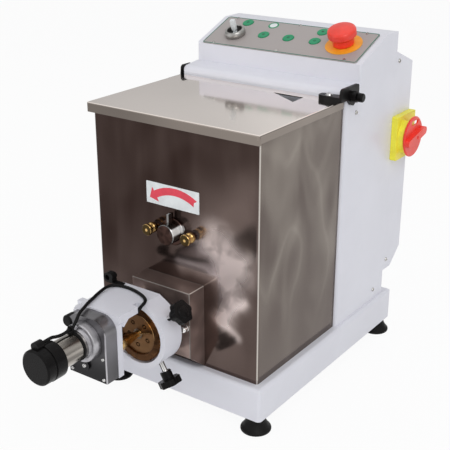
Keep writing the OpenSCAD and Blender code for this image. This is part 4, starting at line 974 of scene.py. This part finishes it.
class PASTA_OT_panel(bpy.types.Operator):
    """Control plate with its border line, keys, lamp, toggle and stop button."""

    bl_idname = "pasta.panel"
    bl_label = "Control panel"

    def execute(self, context):
        soften("control_plate", edges().small, "panel_foil")
        soften("toggle_bezel", edges().moulded, "satin_ring", 3)
        soften("toggle_lever", edges().small, "lever_white")
        soften("estop_ring", edges().small, "stop_disc")
        soften("estop_head", edges().moulded, "red_plastic", 3)
        coat("estop_stem", "black_plastic")
        soften("switch_blocks", edges().small, "black_plastic")
        for node in ("key_mix", "key_extrude", "key_cut", "key_fan", "key_stop"):
            soften(node, edges().small, "key_green")
            self.key_mark(node)
        self.border_line()
        self.lamp()
        return {"FINISHED"}

    def on_plate(self, node):
        """Points of a node, measured on the control plate."""
        to_plate = panel_frame().inverted()
        return [to_plate @ point.co for point in frame["nodes"][node].data.vertices]

    def key_mark(self, node):
        """Dark mark in the middle of a key: a square on the stop key, a ring on the others."""
        points = self.on_plate(node)
        middle = [(min(p[k] for p in points) + max(p[k] for p in points)) / 2 for k in (0, 1)]
        top = max(p.z for p in points)
        size = prints().key_mark
        if node == "key_stop":
            mark = flat_start(node + "_mark", KEY_SQUARE * size, KEY_SQUARE * size, middle)
        else:
            mark = round_start(node + "_mark", size, middle, 24)
            hollow(size * KEY_RING)
        thicken(mark, prints().ink)
        lay(mark, panel_frame() @ Matrix.Translation((0, 0, top)), node, "key_mark")

    def border_line(self):
        """Green line just inside the edge of the plate."""
        points = self.on_plate("control_plate")
        inset = prints().border_inset
        wide = 2 * max(p.x for p in points) - 2 * inset
        deep = max(p.y for p in points) - 2 * inset
        line = flat_start("border_line", wide, deep, (0, deep / 2 + inset))
        bpy.ops.mesh.bevel(offset=BORDER_CORNER, segments=6, affect="VERTICES")
        bpy.ops.mesh.select_all(action="SELECT")
        hollow(prints().border)
        thicken(line, prints().ink)
        lay(line, panel_frame(), "frame", "border_green")

    def lamp(self):
        """Ringed window of the running lamp, in the row of the upper keys."""
        rim = round_start("lamp_rim", LAMP_RADIUS, LAMP_SPOT)
        hollow(LAMP_RIM)
        thicken(rim, prints().ink * 3)
        lay(rim, panel_frame(), "frame", "key_green")
        window = thicken(round_start("lamp_window", LAMP_WINDOW, LAMP_SPOT), prints().ink * 2)
        lay(window, panel_frame(), "frame", "label_white")


class PASTA_OT_main_switch(bpy.types.Operator):
    """Yellow plate and red handle of the main switch."""

    bl_idname = "pasta.main_switch"
    bl_label = "Main switch"

    def execute(self, context):
        soften("switch_plate", edges().moulded, "yellow_plastic", 3)
        soften("switch_handle", edges().moulded, "red_plastic", 3)
        self.tab()
        return {"FINISHED"}

    def tab(self):
        """Small red tab standing on the yellow plate, in front of the handle."""
        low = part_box("switch_plate")[0]
        size = prints().tab
        bpy.ops.object.select_all(action="DESELECT")
        bpy.ops.mesh.primitive_cube_add(size=1, location=low + TAB_SPOT)
        tab = opened("switch_tab", (TAB_THICK, size, size * 0.72))
        bpy.ops.mesh.bevel(offset=0.6 * MM, segments=3, affect="EDGES")
        done()
        finish_piece(tab, "frame", "red_plastic")


class PASTA_OT_casing(bpy.types.Operator):
    """Casing, trough, box round the barrel and the arrow label."""

    bl_idname = "pasta.casing"
    bl_label = "Casing"

    def execute(self, context):
        soften("casing", edges().turned, "polished_sheet")
        soften("trough", edges().turned, "trough_sheet")
        soften("barrel_cover", edges().turned, "box_sheet")
        soften("arrow_label", edges().small, "label_white")
        self.arrow()
        return {"FINISHED"}

    def arrow(self):
        """Curved arrow printed on the label: a band swept round an arc, a head and a notched tail."""
        band, head = prints().arrow_band, prints().arrow_head
        mark = flat_start("label_arrow", band, band, (ARROW_RADIUS, -band / 2))
        choose(mark, lambda p: p.y < -band / 2)
        bpy.ops.mesh.delete(type="VERT")
        bpy.ops.mesh.select_all(action="SELECT")
        bpy.ops.mesh.spin(steps=24, angle=-ARROW_SWEEP, center=(0, 0, 0), axis=(0, 0, 1))
        if max(point.co.y for point in bmesh.from_edit_mesh(mark.data).verts) < band:
            raise RuntimeError("the arrow was swept the wrong way")
        outward = Vector((math.cos(ARROW_SWEEP), math.sin(ARROW_SWEEP), 0))
        forward = Vector((-outward.y, outward.x, 0))
        choose(mark, lambda p: abs(math.atan2(p.y, p.x) - ARROW_SWEEP) < 0.002)
        bpy.ops.mesh.extrude_region_move(TRANSFORM_OT_translate={"value": forward * 0.1 * MM})
        bpy.ops.transform.resize(value=(head / band,) * 3, center_override=outward * ARROW_RADIUS)
        bpy.ops.mesh.extrude_region_move(TRANSFORM_OT_translate={"value": forward * ARROW_HEAD})
        bpy.ops.mesh.merge(type="CENTER")
        choose(mark, lambda p: abs(p.y) < 0.01 * MM)
        bpy.ops.mesh.subdivide(number_cuts=1)
        choose(mark, lambda p: abs(p.y) < 0.01 * MM and abs(p.x - ARROW_RADIUS) < band / 4)
        bpy.ops.transform.translate(value=(0, ARROW_NOTCH, 0))
        thicken(mark, prints().ink)
        on = label_frame() @ Matrix.Translation(ARROW_CENTRE) @ Matrix.Rotation(ARROW_START, 4, "Z")
        lay(mark, on, "frame", "arrow_red")


class PASTA_OT_lid(bpy.types.Operator):
    """Lid with its hinges, screws and plunger."""

    bl_idname = "pasta.lid"
    bl_label = "Lid"

    def execute(self, context):
        soften("lid", edges().turned, "lid_sheet")
        soften("hinge_right", edges().moulded, "black_plastic")
        soften("hinge_left", edges().moulded, "black_plastic")
        soften("hinge_screws", edges().small, "screw_steel")
        soften("hinge_plunger", edges().moulded, "knob_plastic")
        return {"FINISHED"}


class PASTA_OT_hub(bpy.types.Operator):
    """Front bearing of the mixing shaft with its two thumb nuts."""

    bl_idname = "pasta.hub"
    bl_label = "Front hub"

    def execute(self, context):
        soften("front_hub", edges().turned, "hub_chrome", 3)
        soften("thumb_nut_left", edges().turned, "brass_left", 3)
        soften("thumb_nut_right", edges().turned, "brass_right", 3)
        return {"FINISHED"}


class PASTA_OT_extruder(bpy.types.Operator):
    """Barrel with its dome nuts, die and ring nut."""

    bl_idname = "pasta.extruder"
    bl_label = "Extruder"

    def execute(self, context):
        soften("barrel", edges().turned, "flange_steel")
        soften("barrel_bolts", edges().small, "screw_steel")
        soften("die", edges().small, "die_bronze")
        soften("ring_nut", edges().turned, "nut_bronze", 3)
        return {"FINISHED"}


class PASTA_OT_drive(bpy.types.Operator):
    """Shafts, gears and motor inside the machine."""

    bl_idname = "pasta.drive"
    bl_label = "Drive"

    def execute(self, context):
        for node in ("mixer_shaft", "auger", "shaft_bearings", "mixer_gear", "auger_gear", "motor_pinion",
                     "cutter_gear"):
            coat(node, "machined_steel")
        coat("gearbox_case", "grey_iron")
        coat("drive_motor", "grey_iron")
        return {"FINISHED"}


class PASTA_OT_cutter(bpy.types.Operator):
    """Cutter bracket, gear case, motor, blades, lead and knobs."""

    bl_idname = "pasta.cutter"
    bl_label = "Cutter"

    def execute(self, context):
        soften("cutter_bracket", edges().cast, "enamel", 4)
        soften("gear_case", edges().turned * 2, "gear_case_alloy", 3)
        soften("cutter_motor", edges().turned, "motor_tube")
        soften("motor_cap", edges().moulded, "knob_plastic", 3)
        soften("cable_clips", edges().small, "rubber")
        soften("case_screws", edges().small, "screw_steel")
        soften("cutter_shaft", 0, "machined_steel")
        soften("cutter_hub", edges().turned, "brass")
        soften("cutter_blades", edges().small, "blade_steel")
        for node in ("clamp_knob_upper", "clamp_knob_lower"):
            self.clamp_knob(node)
        self.lead()
        return {"FINISHED"}

    def clamp_knob(self, node):
        """Star knob of black plastic on its bright stud."""
        knob = soften(node, edges().moulded, "knob_plastic", 3)
        middle, collar = Vector(axis_of(node)), Vector(axis_of("die"))
        collar.y = middle.y
        way = (middle - collar).normalized()
        reach = (middle - collar).length + STUD_REACH

        def on_stud(point):
            away = point - collar
            return (away - way * away.dot(way)).length < STUD_RADIUS and away.length < reach

        two_tone(knob, "screw_steel", on_stud)

    def lead(self):
        """Round lead of the cutter motor, along its route over the bracket."""
        line = bpy.data.curves.new("cutter_lead", "CURVE")
        line.dimensions = "3D"
        line.bevel_depth = LEAD_RADIUS
        line.bevel_resolution = 4
        line.resolution_u = 4
        line.use_fill_caps = True
        run = line.splines.new("BEZIER")
        run.bezier_points.add(len(LEAD_ROUTE) - 1)
        for point, place in zip(run.bezier_points, LEAD_ROUTE):
            point.co = place
            point.handle_left_type = point.handle_right_type = "AUTO"
        piece = bpy.data.objects.new("cutter_lead", line)
        bpy.context.scene.collection.objects.link(piece)
        line.materials.append(finishes["rubber"])
        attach(piece, "cutter")
        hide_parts("cutter_cable")


# ---------- Studio ----------


class PASTA_OT_studio(bpy.types.Operator):
    """Floor, light, world and camera."""

    bl_idname = "pasta.studio"
    bl_label = "Studio"

    def execute(self, context):
        scene = context.scene
        scene.view_settings.view_transform = "Standard"
        self.floor()
        self.world(scene)
        self.lamps()
        self.camera(scene)
        return {"FINISHED"}

    def floor(self):
        bpy.ops.mesh.primitive_plane_add(size=FLOOR_SIDE, location=(0, 0, 0))
        plane = bpy.context.view_layer.objects.active
        plane.name = "floor"
        made = bpy.data.materials.new("floor_white")
        made.use_nodes = True
        tree = made.node_tree
        tree.nodes.clear()
        matt = add(tree, "ShaderNodeBsdfDiffuse", {"Color": (*[FLOOR_GREY] * 3, 1.0)})
        bright = add(tree, "ShaderNodeEmission", {"Color": (1.0, 1.0, 1.0, 1.0), "Strength": 1.0})
        lit = calc(tree, "MULTIPLY", self.seen(tree), FLOOR_WHITE)
        mix = add(tree, "ShaderNodeMixShader", {0: lit, 1: matt.outputs[0], 2: bright.outputs[0]})
        out = tree.nodes.new("ShaderNodeOutputMaterial")
        tree.links.new(mix.outputs[0], out.inputs["Surface"])
        plane.data.materials.append(made)

    def seen(self, tree):
        """1 for rays that see the background, 0 for rays that light the object."""
        path = tree.nodes.new("ShaderNodeLightPath")
        mirror = calc(tree, "MAXIMUM", path.outputs["Is Glossy Ray"], path.outputs["Is Transmission Ray"])
        return calc(tree, "MAXIMUM", path.outputs["Is Camera Ray"], mirror)

    def world(self, scene):
        world = bpy.data.worlds.new("studio")
        scene.world = world
        world.use_nodes = True
        tree = world.node_tree
        tree.nodes.clear()
        path = tree.nodes.new("ShaderNodeLightPath")
        way = tree.nodes.new("ShaderNodeTexCoord").outputs["Generated"]
        patches = remap(tree, noise(tree, way, 1.6, 1.0, 0.4, 0.4), 0.42, 0.60, 0.60, 1.0)
        high = remap(tree, part(tree, way, "Z"), -0.1, 0.7, 0.55, 1.0)
        mirrored = calc(tree, "MULTIPLY", patches, high)
        glossy = add(tree, "ShaderNodeCombineColor", {0: mirrored, 1: mirrored, 2: mirrored}).outputs[0]
        backdrop = blend(tree, path.outputs["Is Glossy Ray"], (1.0, 1.0, 1.0, 1.0), glossy)
        shown = add(tree, "ShaderNodeBackground", {"Color": backdrop, "Strength": 1.0})
        light = add(tree, "ShaderNodeBackground", {"Color": (0.95, 0.97, 1.0, 1.0), "Strength": EVEN_LIGHT})
        mix = add(tree, "ShaderNodeMixShader", {0: self.seen(tree), 1: light.outputs[0],
                                                2: shown.outputs[0]})
        out = tree.nodes.new("ShaderNodeOutputWorld")
        tree.links.new(mix.outputs[0], out.inputs["Surface"])

    def lamps(self):
        middle = (cad_box[0] + cad_box[1]) / 2
        for name, place, size, power in LAMPS:
            lamp = bpy.data.lights.new(name, "AREA")
            lamp.shape = "SQUARE"
            lamp.size = size
            lamp.energy = power
            self.aim(bpy.data.objects.new(name, lamp), Vector(place), middle)

    def aim(self, holder, place, target):
        """Sets up a lamp or the camera, turned towards a point."""
        bpy.context.scene.collection.objects.link(holder)
        holder.location = place
        holder.rotation_euler = (target - place).to_track_quat("-Z", "Y").to_euler()

    def camera(self, scene):
        data = bpy.data.cameras.new("camera")
        data.lens = CAMERA_LENS
        data.sensor_width = 36.0
        holder = bpy.data.objects.new("camera", data)
        self.aim(holder, CAMERA_PLACE, CAMERA_TARGET)
        scene.camera = holder


class PASTA_PT_sidebar(bpy.types.Panel):
    """Lists the groups of pieces."""

    bl_idname = "PASTA_PT_sidebar"
    bl_label = "Pasta maker"
    bl_space_type = "VIEW_3D"
    bl_region_type = "UI"
    bl_category = "Pasta maker"

    def draw(self, context):
        for operator in OPERATORS:
            self.layout.operator(operator.bl_idname)
        for group_name in ("pasta_edges", "pasta_prints", "pasta_palette"):
            settings = getattr(context.scene, group_name)
            box = self.layout.box()
            for key in settings.__annotations__:
                box.prop(settings, key)


OPERATORS = (PASTA_OT_finishes, PASTA_OT_base, PASTA_OT_column, PASTA_OT_panel, PASTA_OT_main_switch,
             PASTA_OT_casing, PASTA_OT_lid, PASTA_OT_hub, PASTA_OT_extruder, PASTA_OT_drive, PASTA_OT_cutter,
             PASTA_OT_studio)
CLASSES = (EdgeSizes, PrintSizes, Palette, *OPERATORS, PASTA_PT_sidebar)


def register():
    for entry in CLASSES:
        bpy.utils.register_class(entry)
    bpy.types.Scene.pasta_edges = PointerProperty(type=EdgeSizes)
    bpy.types.Scene.pasta_prints = PointerProperty(type=PrintSizes)
    bpy.types.Scene.pasta_palette = PointerProperty(type=Palette)


def unregister():
    for name in ("pasta_palette", "pasta_prints", "pasta_edges"):
        delattr(bpy.types.Scene, name)
    for entry in reversed(CLASSES):
        bpy.utils.unregister_class(entry)


def main():
    register()
    for operator in OPERATORS:
        family, name = operator.bl_idname.split(".")
        if getattr(getattr(bpy.ops, family), name)() != {"FINISHED"}:
            raise RuntimeError(operator.bl_label + " did not finish")


if __name__ == "__main__":
    main()
